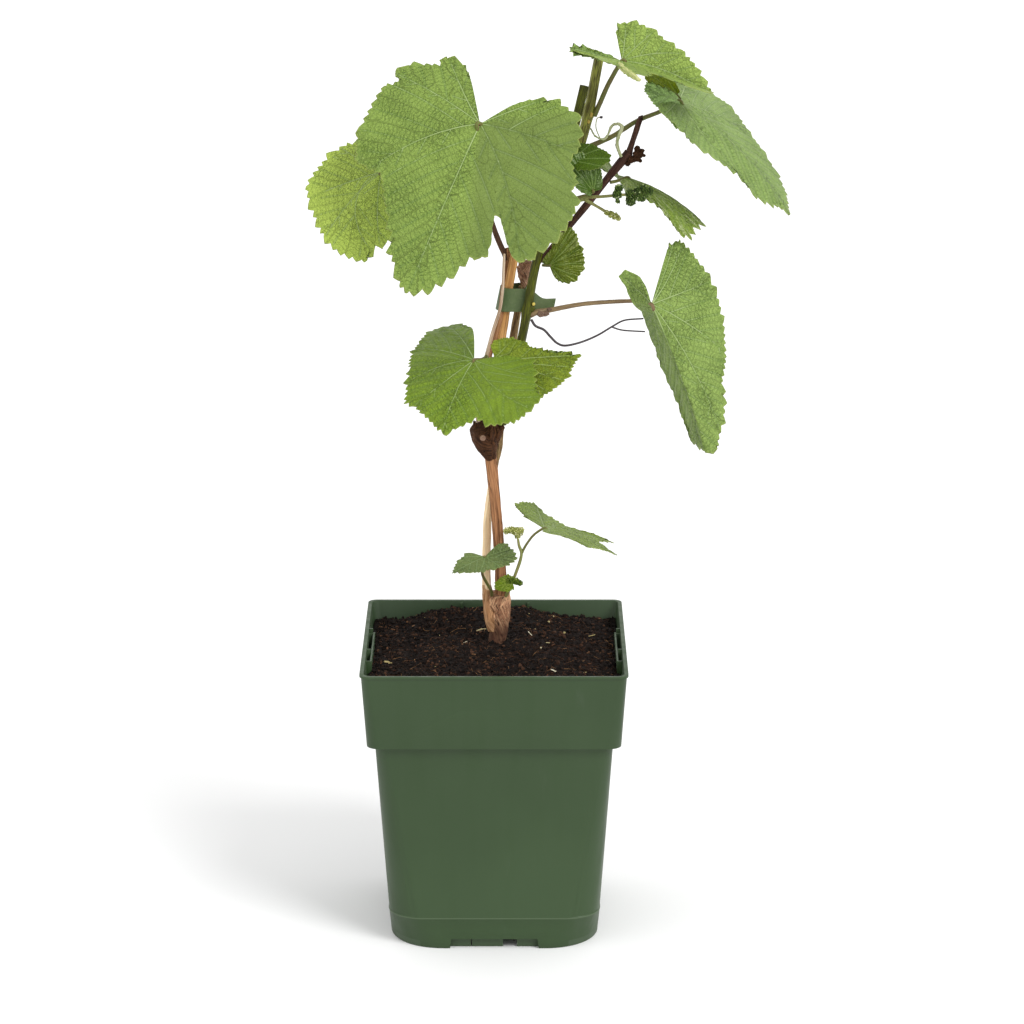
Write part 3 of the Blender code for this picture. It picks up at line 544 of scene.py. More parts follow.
LEAVES = {
    "big_leaf": leaf(
        node="leaf_big", skins="mid under rib stalk", stalk=((34.2, -9.8, 441.4), (23, -16, 450.5),
        (9, -26, 461.5)), radii=(1.3, 1.2, 1.2, 1.3, 0.9), at=(-7.3, -50, 480), tip=(-47, -86, 392.7),
        face=(-0.05, -0.92, 0.38), arch=20, fold=(-6, -4), curl=(-10, -10), rim=((-147, 0.28), (-144, 0.38),
        (-134, 0.46), (-128, 0.43), (-112, 0.545), (-103, 0.58), (-99, 0.52), (-94, 0.58), (-79, 0.61),
        (-64, 0.67), (-51, 0.70), (-40, 0.60), (-23, 0.70), (-18, 0.74), (-11, 0.86), (-3, 0.98), (0, 1),
        (6, 0.95), (12, 0.86), (20, 0.73), (24, 0.74), (28, 0.67), (30, 0.56), (31.5, 0.51), (34.8, 0.53),
        (35.4, 0.70), (36.4, 0.76), (38, 0.785), (42, 0.79), (45, 0.77), (52, 0.76), (58, 0.74), (68, 0.71),
        (73, 0.68), (79, 0.60), (82, 0.62), (93, 0.52), (101, 0.55), (122, 0.53), (133, 0.45), (143, 0.32),
        (147, 0.20)), veins=((0, 0), (54, 39), (-64, -46), (-109, -103), (-128, -135), (106, 98), (140, 138)),
        rings=76, tooth=(6.2, 2.8), spacing=14, quilt=1.0, wave=1.6, pucker=(-52, 22, 2.6), smooth=(10, 130),
        even=(26, 41)),
    "left_leaf": leaf(
        node="leaf_left", skins="light under rib stalk", stalk=((-4.4, 1.0, 425.2), (-30, -8, 436),
        (-49.7, -13, 444.3)), radii=(1.1, 1.0, 0.9), at=(-62.5, -14, 446.8), tip=(-89, -34, 406),
        face=(-0.2, -0.85, 0.45), arch=15, fold=(-5, -12), rim=((-150, 0.30), (-103, 0.55), (-77, 0.66),
        (-52, 0.84), (-30, 0.86), (0, 1), (18, 1.02), (22, 1.0), (26, 0.86), (30, 0.81), (45, 0.76),
        (75, 0.7), (110, 0.65), (150, 0.35)), veins=((-50, 24), (18, 29), (-24, -10), (-48, -42), (-92, -95),
        (62, 70), (110, 115)), rings=50, tooth=(6.0, 3.2), spacing=11, quilt=0.6, wave=1.0),
    "middle_leaf": leaf(
        node="leaf_middle", skins="deep under rib stalk", stalk=((-4.2, -9.6, 339.8), (-6.7, -22, 341)),
        radii=(1.1, 1.0, 0.9), at=(-11, -36, 344), tip=(-26.8, -82, 313), face=(0.05, -0.66, 0.74), arch=25,
        fold=(-10, 12), curl=(-30, 8), rim=((-166, 0.78), (-157, 1.04), (-142, 1.02), (-124, 0.83),
        (-103, 0.695), (-73, 0.635), (-50, 0.735), (-37, 0.86), (-30, 0.83), (-16, 0.89), (-5, 0.98), (0, 1),
        (10, 0.91), (17, 0.83), (26, 0.95), (39, 1.02), (46, 1.01), (53, 0.975), (60, 0.96), (64, 0.82),
        (75, 0.69), (92, 0.60), (102, 0.55), (106, 0.45)), veins=((-8, -2), (-24, -30), (-76, -58),
        (-112, -114), (-150, -152), (24, 50), (62, 74)), rings=60, tooth=(5.4, 3.0), spacing=10, quilt=0.9,
        wave=1.2, pucker=(20, 40, 1.2), smooth=(12, 108)),
    "middle_back_lobe": leaf(
        node="leaf_middle", skins="yellowed under rib stalk", stalk=((-9, -35.5, 343.5),), radii=(0.6, 0.5),
        at=(4.6, -37, 343.6), tip=(47.5, -45.5, 348), face=(-0.12, -0.55, 0.82), arch=12, fold=(-6, 8),
        rim=((-85, 0.45), (-66, 0.62), (-52, 0.82), (-40, 0.88), (-28, 0.93), (-18, 0.95), (-8, 0.96),
        (0, 1.02), (5, 0.84), (8, 0.66), (16, 0.50), (40, 0.3)), veins=((0, 1), (-16, -10), (-30, -24),
        (-46, -40)), rings=34, tooth=(3.6, 2.2), spacing=9, quilt=0.7, wave=0.8),
    "middle_frill": leaf(
        node="leaf_middle", skins="yellowed under rib stalk", stalk=((-9, -35, 343.8),), radii=(0.5, 0.4),
        at=(0.5, -33, 344.5), tip=(20.5, -28, 349), face=(-0.05, -0.75, 0.65), arch=14, fold=(-14, 6),
        rim=((-50, 0.45), (-24, 0.75), (0, 1), (12, 0.95), (26, 0.80), (44, 0.66), (66, 0.52), (90, 0.35)),
        veins=((0, 0), (-24, -28), (26, 30)), rings=22, tooth=(2.4, 1.0), spacing=4, quilt=0.9, wave=1.0,
        pucker=(0, 90, 1.8)),
    "pendant_leaf": leaf(
        node="leaf_pendant", skins="hanging hanging rib pink", stalk=((20.5, -12, 364.6), (25, -12.4, 366.4),
        (31.7, -10.8, 367.1), (51.5, -9, 370.3), (77.4, -8, 371.7), (84.4, -16, 372.6)),
        radii=(1.9, 1.5, 1.2, 1.0, 0.9), at=(88.4, -30, 374.6), tip=(120.5, -36, 290),
        face=(0.30, -0.92, 0.20), arch=25, fold=(-88, -4), curl=(-5, -10), flare=(260, 0), rim=((-187, 0.12),
        (-180, 0.20), (-168, 0.27), (-156, 0.27), (-148, 0.20), (-125, 0.17), (-103, 0.18), (-65, 0.25),
        (-44, 0.36), (-26, 0.57), (-17, 0.73), (-12, 0.98), (-3, 0.99), (4, 1), (9, 0.90), (14, 0.82),
        (22, 0.66), (32, 0.60), (43, 0.53), (64, 0.46), (89, 0.43), (108, 0.43), (131, 0.47), (141, 0.38),
        (138, 0.25)), veins=((1, -4), (16, 8), (46, 36), (88, 88), (116, 127), (128, 134), (-40, -30),
        (-150, -160)), rings=60, tooth=(5.2, 2.3), spacing=10, quilt=0.9, wave=1.0, pucker=(12, 12, 1.0)),
    "top_leaf": leaf(
        node="leaf_top", skins="fresh under rib stalk", stalk=((56.4, 3, 475.5), (60.3, 2.8, 484.6),
        (64.7, 2, 494.6)), radii=(1.5, 1.35, 1.1), at=(71.5, -4, 507.6), tip=(121.8, -6, 490.5),
        face=(0.15, -0.88, 0.40), arch=20, fold=(65, -3), rim=((-188, 0.35), (-181, 0.58), (-150, 0.5),
        (-121, 0.40), (-90, 0.55), (-77, 0.85), (-65, 0.75), (-45, 0.42), (-36, 0.5), (-29, 0.75),
        (-14, 0.97), (0, 1), (7, 0.88), (16, 0.78), (29, 0.64), (43, 0.525), (63, 0.48), (87, 0.455),
        (114, 0.43), (120, 0.2)), veins=((14, -2), (40, 26), (66, 62), (98, 102), (-30, -25), (-80, -80),
        (-150, -175)), rings=48, tooth=(5.0, 2.3), spacing=9, quilt=0.6, wave=0.6),
    "top_leaf_arm": leaf(
        node="leaf_top", skins="greyed fresh rib stalk", stalk=((69.5, -5.5, 506.8),), radii=(0.6, 0.5),
        at=(67, -7, 508.3), tip=(42.3, -7, 516.2), face=(0, -0.92, 0.4), arch=16, curl=(20, 0),
        rim=((-60, 0.10), (-20, 0.22), (-9, 0.5), (-5, 0.8), (0, 1), (6, 0.98), (8.5, 0.88), (10, 0.72),
        (11, 0.55), (14, 0.36), (30, 0.2), (70, 0.10)), veins=((0, 2), (8, 7)), rings=20, tooth=(3.4, 2.6),
        spacing=5, quilt=0.4, wave=0.3),
    "long_leaf": leaf(
        node="leaf_long", skins="greyed under rib stalk", stalk=((51.4, 5.0, 456.8), (66.6, 9, 462.8),
        (80.6, 11, 471.2), (94, 10, 477)), radii=(1.5, 1.25, 1.1), at=(103.6, 6, 483.4),
        tip=(166.2, -6, 421.6), face=(0.60, -0.36, 0.70), arch=25, fold=(0, -12), rim=((-112, 0.20),
        (-99, 0.27), (-74, 0.31), (-58, 0.43), (-39, 0.51), (-24, 0.62), (-19, 0.79), (-12, 0.865), (0, 1),
        (14, 0.945), (22, 0.86), (32, 0.76), (47, 0.69), (74, 0.72), (90, 0.6), (110, 0.5), (126, 0.4),
        (140, 0.3)), veins=((8, 2), (60, 45), (-35, -30), (-90, -90), (95, 98)), rings=56, tooth=(5.8, 3.2),
        spacing=11, quilt=0.9, wave=1.2, pucker=(-60, 40, 1.6)),
    "folded_leaf": leaf(
        node="leaf_folded", skins="streaked streaked rib_dim stalk", stalk=((65.9, 7.8, 436.8),
        (70, 10.5, 437.2)), radii=(1.0, 0.8), at=(75.4, 14, 438.6), tip=(118.4, 4, 414),
        face=(0.48, -0.28, 0.83), arch=34, fold=(-8, -50), curl=(-20, -20), flare=(60, 140),
        rim=((-110, 0.14), (-58, 0.25), (-46, 0.40), (-36, 0.46), (-30, 0.62), (-29, 0.80), (-27, 1.0),
        (-20, 1.07), (-12, 0.98), (0, 1), (14, 0.66), (30, 0.36), (55, 0.26), (85, 0.40), (120, 0.60),
        (155, 0.45), (170, 0.2)), veins=((0, 0), (-14, -12), (40, 36), (85, 88), (130, 130)), rings=44,
        tooth=(4.6, 3.0), spacing=5.5, quilt=0.6, wave=0.5, pucker=(-25, 30, 0.9)),
    "long_leaf_wing": leaf(
        node="leaf_long", skins="wing under rib stalk", stalk=((106, 7, 482),), radii=(0.6, 0.5),
        at=(104, 5, 484), tip=(84.5, -2, 491), face=(0.25, -0.75, 0.61), arch=10, rim=((-60, 0.12),
        (-37, 0.3), (-20, 0.6), (-17, 0.84), (-14, 1.0), (2, 1.02), (11, 0.92), (24, 0.84), (38, 0.74),
        (61, 0.70), (76, 0.80), (92, 0.85), (112, 0.7)), veins=((0, 0), (36, 42), (75, 85)), rings=24,
        tooth=(2.6, 1.5), spacing=6, quilt=0.6, wave=0.5, pucker=(20, 60, 0.8)),
    "long_leaf_pocket": leaf(
        node="leaf_long", skins="pocket pocket rib_dim stalk", stalk=((105, 8, 484.5),), radii=(0.6, 0.5),
        at=(103, 6.5, 487), tip=(86, 2.5, 501), face=(-0.35, -0.75, -0.55), arch=10, rim=((-80, 0.15),
        (-58, 0.25), (-42, 0.56), (-30, 0.64), (-14, 0.76), (-8, 0.94), (2, 1.04), (16, 0.92), (24, 0.75),
        (32, 0.5), (60, 0.25), (100, 0.16)), veins=((0, 0), (-25, -25)), rings=18, tooth=(2.0, 0.4),
        spacing=5, quilt=0.6, wave=0.4),
    "pleated_leaf": leaf(
        node="leaf_pleated", skins="young young rib_dim stalk", stalk=((53.5, -1.8, 431.8),),
        radii=(1.0, 0.9), at=(56, -5, 434), tip=(42, -10, 452.5), face=(0.15, -0.95, -0.2), arch=12,
        fold=(-10, 14), rim=((-118, 0.2), (-90, 0.28), (-72, 0.38), (-52, 0.63), (-33, 0.82), (-21, 1.04),
        (-1, 1.10), (10, 0.9), (25, 0.6), (63, 0.2), (110, 0.12)), veins=((0, 0), (-16, -14), (-32, -28),
        (-50, -44)), rings=40, tooth=(2.6, 0.7), spacing=30, quilt=1.1, wave=0.3, pucker=(0, 120, 0.8)),
    "pleated_lobe": leaf(
        node="leaf_pleated", skins="young_lobe young rib_dim stalk", stalk=((42.5, -6, 451),),
        radii=(0.6, 0.5), at=(44, -7, 452), tip=(65.8, -9, 454.6), face=(-0.25, -0.85, 0.45), arch=30,
        fold=(10, -16), rim=((-70, 0.35), (-50, 0.40), (-39, 0.58), (-23, 0.77), (-13, 0.88), (-8, 0.96),
        (2, 0.99), (10, 0.91), (20, 0.78), (36, 0.67), (59, 0.55), (80, 0.45)), veins=((0, -4), (-22, -20),
        (22, 18), (44, 40)), rings=30, tooth=(2.8, 0.9), spacing=30, quilt=0.5, wave=0.4),
    "glossy_leaf": leaf(
        node="leaf_glossy", skins="glossy glossy rib_dim stalk", stalk=((27.6, -0.8, 390.8),),
        radii=(0.9, 0.8), at=(31.4, -4.5, 391.4), tip=(52.6, -15, 399.6), face=(-0.1, -0.93, 0.3), arch=10,
        rim=((-80, 0.2), (-68, 0.45), (-60, 0.55), (-44, 0.74), (-24, 0.86), (-9, 0.92), (0, 0.93),
        (16, 0.92), (33, 1.0), (44, 1.04), (52, 0.82), (60, 0.52), (72, 0.34), (100, 0.24), (150, 0.2)),
        veins=((-55, -60), (-30, -34), (-8, -10), (12, 13), (26, 29), (38, 42)), rings=44, tooth=(3.2, 1.5),
        spacing=30, quilt=1.4, wave=0.4, pucker=(20, 40, 1.0)),
    "low_left_leaf": leaf(
        node="leaf_base_left", skins="small under rib_dim stalk", stalk=((-1.5, -3.4, 196.2), (-2.2, -7, 201),
        (-6.8, -15, 212.5), (-6, -18.7, 221)), radii=(0.9, 0.8), at=(-5.2, -20, 224.5), tip=(-24, -34, 218.5),
        face=(-0.15, -0.60, 0.79), arch=12, fold=(5, 5), rim=((-50, 0.37), (-24, 0.62), (-13, 0.79), (0, 1.0),
        (7, 0.85), (19, 0.76), (36, 0.64), (64, 0.52), (92, 0.54), (125, 0.63), (140, 0.72), (171, 0.79),
        (194, 0.80), (203, 0.6)), veins=((0, 0), (-30, -28), (45, 40), (95, 95), (140, 140), (175, 178)),
        rings=34, tooth=(3.0, 1.5), spacing=5, quilt=0.5, wave=0.4),
    "low_right_leaf": leaf(
        node="leaf_base_right", skins="small_light small_light rib stalk", stalk=((15.4, -8, 222),
        (18.2, -8.4, 228), (22.8, -9, 234.4)), radii=(0.75, 0.65), at=(28.6, -10, 238.8),
        tip=(70.6, -12, 222.7), face=(0.37, 0, 0.92), arch=25, flare=(40, 40), rim=((-95, 0.2), (-48, 0.30),
        (-35, 0.48), (-32, 0.68), (-10, 0.78), (0, 1), (10, 0.74), (18, 0.80), (27, 1.03), (33, 0.6),
        (45, 0.42), (61, 0.42), (87, 0.62), (101, 0.82), (117, 0.73), (128, 0.63), (134, 0.3)), veins=((0, 0),
        (26, 27), (-30, -30), (95, 100), (60, 58)), rings=38, tooth=(3.4, 1.8), spacing=5, quilt=0.5, wave=0.5),
}
SEEDLING = leaf(
    node="base_shoot", skins="bright under rib_dim stalk", stalk=((11.2, -8.4, 206.6),), radii=(0.6, 0.5),
    at=(10.5, -9.4, 206), tip=(0, -10, 202.5), face=(-0.1, -0.7, 0.7), arch=20, fold=(5, 5), rim=((-90, 0.4),
    (-40, 0.7), (0, 1), (40, 0.7), (90, 0.4)), veins=((0, 0), (-50, -50), (50, 50)), rings=22,
    tooth=(2.0, 1.0), spacing=2.2, quilt=0.8, wave=0.9, pucker=(0, 120, 1.4))
BLADE_THICKNESS = 0.35
VEIN_STEPS = 40         # parts that a main vein is drawn in
VEIN_END = 0.97         # share of the way to the rim at which veins stop
RIM_SAMPLES = 2400
CALM = 12               # degrees over which the skin turns smooth


def each_noise(x, y, scale, seed):
    return np.array([noise.noise((a / scale, b / scale, seed)) for a, b in zip(x, y)])


def rim_reach(rim, angle):
    """Rim radius over leaf length: rounded in the sinuses and pointed at the lobes."""
    for (low, start), (high, end) in zip(rim, rim[1:]):
        if angle <= high:
            break
    share = min(max((angle - low) / (high - low), 0.0), 1.0)
    if end > start:
        return start + (end - start) * share ** 1.25
    return end + (start - end) * (1 - share) ** 1.25


def leaf_length(leaf):
    """Length of the midrib in mm, which arches over the chord from its joint to its tip."""
    chord = (Vector(leaf["tip"]) - Vector(leaf["at"])).length
    half = math.radians(leaf["arch"]) / 2
    return chord * half / math.sin(half)


def leaf_surface(leaf, x, y):
    """Where places of the flat pattern lie on the grown leaf, in mm."""
    at = np.array(leaf["at"], dtype=float)
    along = np.array(leaf["tip"], dtype=float) - at
    along /= np.linalg.norm(along)
    face = np.array(leaf["face"], dtype=float)
    face -= face.dot(along) * along
    face /= np.linalg.norm(face)
    across = np.cross(face, along)
    length = leaf_length(leaf)
    arch = math.radians(leaf["arch"])
    side = (x > 0).astype(int)
    behind = np.maximum(0.0, -y / length)
    fold = np.radians(np.array(leaf["fold"])[side] + np.array(leaf["flare"])[side] * behind)
    curl = np.radians(np.array([bend or 0.01 for bend in leaf["curl"]])[side]) / length
    width = np.abs(x)
    out = (np.sin(fold + curl * width) - np.sin(fold)) / curl
    up = (np.cos(fold) - np.cos(fold + curl * width)) / curl
    turn = arch / 2 - arch * y / length
    ahead = length / arch * (math.sin(arch / 2) - np.sin(turn))
    rise = length / arch * (np.cos(turn) - math.cos(arch / 2))
    normal = np.cos(turn)[:, None] * face - np.sin(turn)[:, None] * along
    return (at + ahead[:, None] * along + rise[:, None] * face
            + np.copysign(out, x)[:, None] * across + up[:, None] * normal)


def leaf_normals(leaf, x, y):
    """Which way the upper skin faces at places of the flat pattern."""
    reach = 0.3
    aside = leaf_surface(leaf, x + reach, y) - leaf_surface(leaf, x - reach, y)
    ahead = leaf_surface(leaf, x, y + reach) - leaf_surface(leaf, x, y - reach)
    normal = np.cross(ahead, aside)
    return normal / np.linalg.norm(normal, axis=1)[:, None]


def rim_at(leaf, x, y):
    """How far out the rim is in the direction of a place, in mm; nothing outside the leaf's angles."""
    angle = math.degrees(math.atan2(x, y))
    first, last = leaf["rim"][0][0], leaf["rim"][-1][0]
    if angle < first:
        angle += 360
    elif angle > last:
        angle -= 360
    if not first <= angle <= last:
        return 0.0
    return rim_reach(leaf["rim"], angle) * leaf_length(leaf)


def near(spot, runs, distance):
    """Whether a place is closer than this to any run, tried at every other point of each."""
    limit = distance * distance
    return any((spot - point).length_squared < limit for run in runs for point in run[::2])


def grow_side_vein(leaf, run, share, hand, others):
    """A side vein off a main one, until it nears the rim or another vein."""
    place = share * VEIN_STEPS
    low = int(place)
    spot = run[low].lerp(run[min(low + 1, VEIN_STEPS)], place - low)
    heading = (run[min(low + 2, VEIN_STEPS)] - run[max(low - 2, 0)]).normalized()
    turn = math.radians(hand * (52 - 16 * share))
    course = Vector((heading.x * math.cos(turn) + heading.y * math.sin(turn),
                     heading.y * math.cos(turn) - heading.x * math.sin(turn)))
    branch = [spot]
    for _ in range(90):
        spot = spot + course
        course = (course + heading * 0.006).normalized()
        if spot.length > VEIN_END * rim_at(leaf, spot.x, spot.y):
            break
        if len(branch) > 3 and near(spot, others, 0.16 * leaf["spacing"] + 0.6):
            break
        branch.append(spot)
    return branch


def grow_veins(leaf):
    """Runs of the veins in the flat pattern: the main ones from the joint, and side veins off them."""
    length = leaf_length(leaf)
    mains = []
    for start, end in leaf["veins"]:
        reach = rim_reach(leaf["rim"], end) * length * VEIN_END
        run = []
        for step in range(VEIN_STEPS + 1):
            share = step / VEIN_STEPS
            angle = math.radians(start + (end - start) * share ** 0.8)
            run.append(Vector((math.sin(angle), math.cos(angle))) * reach * share)
        mains.append(run)
    sides = []
    for number, run in enumerate(mains):
        reach = (run[-1] - run[0]).length
        for index in range(int(reach / leaf["spacing"])):
            for hand in (-1, 1):
                share = (index + 0.9 + 0.25 * hand) * leaf["spacing"] / reach
                if share > 0.93:
                    continue
                others = mains[:number] + mains[number + 1:] + sides
                branch = grow_side_vein(leaf, run, share, hand, others)
                if len(branch) > 4:
                    sides.append(branch)
    return mains, sides


class Pattern:
    """A leaf's veins, and how they swell and mark its blade."""

    def __init__(self, leaf):
        self.leaf = leaf
        self.length = leaf_length(leaf)
        self.mains, self.sides = grow_veins(leaf)
        fine = []
        for number, run in enumerate(self.mains + self.sides):
            travelled = number * 1.3
            for start, end in zip(run, run[1:]):
                length = (end - start).length
                fine += [(start.lerp(end, step / 3), travelled + length * step / 3) for step in range(3)]
                travelled += length
        self.tree = kdtree.KDTree(len(fine))
        for index, (place, _) in enumerate(fine):
            self.tree.insert((place.x, place.y, 0), index)
        self.tree.balance()
        self.travelled = [length for _, length in fine]

    def marks(self, x, y):
        """Distance to the nearest vein, and the place along it."""
        gaps = np.empty(len(x))
        rungs = np.empty(len(x))
        for index, spot in enumerate(zip(x, y)):
            _, found, gaps[index] = self.tree.find((*spot, 0))
            rungs[index] = self.travelled[found]
        return gaps, rungs

    def swell(self, x, y, gaps):
        """How far the blade stands up off its plain form: quilted between veins, waved and puckered."""
        leaf = self.leaf
        radius = np.hypot(x, y)
        share = np.clip(radius / self.length, 0, 1)
        height = leaf["quilt"] * (1 - np.exp(-gaps / (0.22 * leaf["spacing"] + 0.5))) * np.clip(radius / 8, 0, 1)
        seed = leaf["at"][0]
        waves = each_noise(x, y, 26, seed)
        dimples = each_noise(x, y, 4.5, seed + 9)
        height = height + leaf["wave"] * waves * share + 0.22 * leaf["quilt"] * dimples
        if leaf["pucker"]:
            middle, width, depth = leaf["pucker"]
            angle = np.degrees(np.arctan2(x, y))
            there = np.exp(-((angle - middle) / width) ** 2) * np.clip((share - 0.45) / 0.2, 0, 1)
            height = height + depth * there * each_noise(x, y, 5, seed + 4)
        return height


def lobe_tips(reach, travelled):
    """Where along the rim the lobes' tips are: each place that no other near it reaches past."""
    window = len(reach) // 22
    return [travelled[index] for index in range(len(reach))
            if reach[index] >= reach[max(index - window, 0):index + window + 1].max()]


def grow_teeth(leaf, travelled, tips):
    """Places along the rim and how far each stands proud: pointed, uneven teeth that lean to the lobes' tips."""
    width, height = leaf["tooth"]
    chance = random.Random(round(leaf["at"][2]))
    place = [0.0]
    proud = [0.0]
    count = 0
    while place[-1] < travelled[-1] - 0.3 * width:
        start = place[-1]
        large = count % 3 == chance.randrange(3)
        span = width * chance.uniform(0.85, 1.35) * (1.3 if large else 0.72)
        span = min(span, travelled[-1] - start)
        rise = height * chance.uniform(0.75, 1.15) * (1.15 if large else 0.6)
        nearest = min(tips, key=lambda tip: abs(tip - start - span / 2))
        aside = nearest - start - span / 2
        lean = 0.5 if abs(aside) < 0.5 * span else 0.5 + math.copysign(0.22, aside)
        steps = max(3, round(span / 1.1))
        up = max(1, round(steps * lean))
        for step in range(1, steps + 1):
            rising = step <= up
            share = step / up if rising else (steps - step) / (steps - up)
            along = lean * step / up if rising else lean + (1 - lean) * (step - up) / (steps - up)
            place.append(start + span * along)
            proud.append(rise * share ** 0.8)
        count += 1
    return np.array(place), np.array(proud)


def toothed_rim(leaf):
    """The rim of the flat pattern, without its teeth and with them."""
    length = leaf_length(leaf)
    angles = np.linspace(leaf["rim"][0][0], leaf["rim"][-1][0], RIM_SAMPLES)
    reach = np.array([rim_reach(leaf["rim"], angle) for angle in angles]) * length
    run = np.column_stack((reach * np.sin(np.radians(angles)), reach * np.cos(np.radians(angles))))
    travelled = np.concatenate(([0], np.cumsum(np.hypot(*np.diff(run, axis=0).T))))
    place, proud = grow_teeth(leaf, travelled, lobe_tips(reach, travelled))

    def rim_places(where):
        return np.column_stack([np.interp(where, travelled, run[:, axis]) for axis in (0, 1)])

    plain = rim_places(place)
    heading = (rim_places(np.clip(place + 1.5, 0, travelled[-1]))
               - rim_places(np.clip(place - 1.5, 0, travelled[-1])))
    heading /= np.linalg.norm(heading, axis=1)[:, None]
    outward = np.column_stack((-heading[:, 1], heading[:, 0]))
    away = np.clip((np.linalg.norm(plain, axis=1) - 0.24 * length) / (0.12 * length), 0.1, 1)
    angle = np.degrees(np.arctan2(plain[:, 0], plain[:, 1]))
    even_from, even_to = leaf["even"]
    away = np.where((angle > even_from) & (angle < even_to), 0.15, away)
    toothed = plain + outward * ((proud - 0.42 * leaf["tooth"][1]) * away)[:, None]
    return plain, toothed


def make_blade(name, leaf, pattern):
    """The blade of a leaf: rings of points from the joint to the toothed rim, and its thickness."""
    plain, toothed = toothed_rim(leaf)
    rings = leaf["rings"]
    spokes = len(plain)
    shares = (np.arange(1, rings + 1) / rings) ** 0.85
    grid = np.concatenate([share * plain + share ** 9 * (toothed - plain) for share in shares])
    grid = np.concatenate((np.zeros((1, 2)), grid))
    x, y = grid[:, 0], grid[:, 1]
    gaps, rungs = pattern.marks(x, y)
    points = leaf_surface(leaf, x, y) + pattern.swell(x, y, gaps)[:, None] * leaf_normals(leaf, x, y)
    faces = [(0, 1 + spoke, 2 + spoke) for spoke in range(spokes - 1)]
    faces += [(low, high, high_next, low_next)
              for low, low_next, high_next, high in grid_faces(rings, spokes, start=1)]
    smooth_from, smooth_to = leaf["smooth"]
    angle = np.degrees(np.arctan2(x, y))
    smooth = np.clip((angle - smooth_from) / CALM, 0, 1) * np.clip((smooth_to - angle) / CALM, 0, 1)
    blade = mesh_piece(name, points * MM, faces, grid * UV_SCALE, marks={
        "gap": gaps, "rung": rungs, "margin": np.concatenate(([0], np.repeat(shares, spokes))), "smooth": smooth})
    skin = blade.modifiers.new("thickness", "SOLIDIFY")
    skin.thickness = BLADE_THICKNESS * MM
    skin.offset = -1
    skin.material_offset = 1
    return blade


def ribbed(leaf, pattern, run, radii, sink, sides=6):
    """A vein as a fine round rib along the blade."""
    x = np.array([spot.x for spot in run])
    y = np.array([spot.y for spot in run])
    normals = leaf_normals(leaf, x, y)
    radius = radii[0] + (radii[1] - radii[0]) * np.linspace(0, 1, len(x))
    lift = pattern.swell(x, y, np.zeros(len(x))) - sink * radius
    middle = leaf_surface(leaf, x, y) + lift[:, None] * normals
    heading = np.gradient(middle, axis=0)
    heading /= np.linalg.norm(heading, axis=1)[:, None]
    beside = np.cross(normals, heading)
    rings = []
    for side in range(sides):
        angle = 2 * math.pi * side / sides
        rings.append(middle + radius[:, None] * (math.cos(angle) * beside + math.sin(angle) * normals))
    faces = grid_faces(len(x), sides, closed=True)
    faces.append(tuple(reversed(range(sides))))
    faces.append(tuple(range((len(x) - 1) * sides, len(x) * sides)))
    return np.stack(rings, axis=1).reshape(-1, 3), faces


def make_ribs(name, leaf, pattern):
    """All the veins of a leaf, raised a little on its upper side and more below."""
    size = min(1.0, pattern.length / 75)
    smooth_from, smooth_to = leaf["smooth"]
    heap = Heap()
    for runs, radii in ((pattern.mains, (0.42 * size, 0.16)), (pattern.sides, (0.21 * size, 0.12))):
        for run in runs:
            angle = math.degrees(math.atan2(run[-1].x, run[-1].y))
            sink = 0.78 if smooth_from < angle < smooth_to else 0.5
            heap.add(*ribbed(leaf, pattern, run, radii, sink))
    ribs = heap.piece(name, flat=False)
    ribs.data.uv_layers.new(name="UVMap")
    return ribs


def grow_leaf(name, leaf, skins, stalk_end=0.04):
    """A whole leaf: blade, veins and stalk in one piece."""
    pattern = Pattern(leaf)
    blade = make_blade(name + "_blade", leaf, pattern)
    ribs = make_ribs(name + "_ribs", leaf, pattern)
    at = Vector(leaf["at"])
    along = (Vector(leaf["tip"]) - at).normalized()
    run_on = at + along * stalk_end * pattern.length
    stem = limb(name + "_stalk", (*leaf["stalk"], tuple(at), tuple(run_on)), leaf["radii"], 14, 1.0,
                lambda out, place, travelled: 0.08 * noise.noise(place * 0.5))
    for piece, first in ((blade, 0), (ribs, 2), (stem, 3)):
        piece.data.materials.clear()
        for skin in leaf["skins"].split():
            piece.data.materials.append(skins[skin])
        if first:
            piece.data.polygons.foreach_set("material_index", [first] * len(piece.data.polygons))
    apply_modifiers(blade)
    whole = join(name, blade, ribs, stem)
    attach(whole, "root")
    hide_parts(leaf["node"])
    return whole


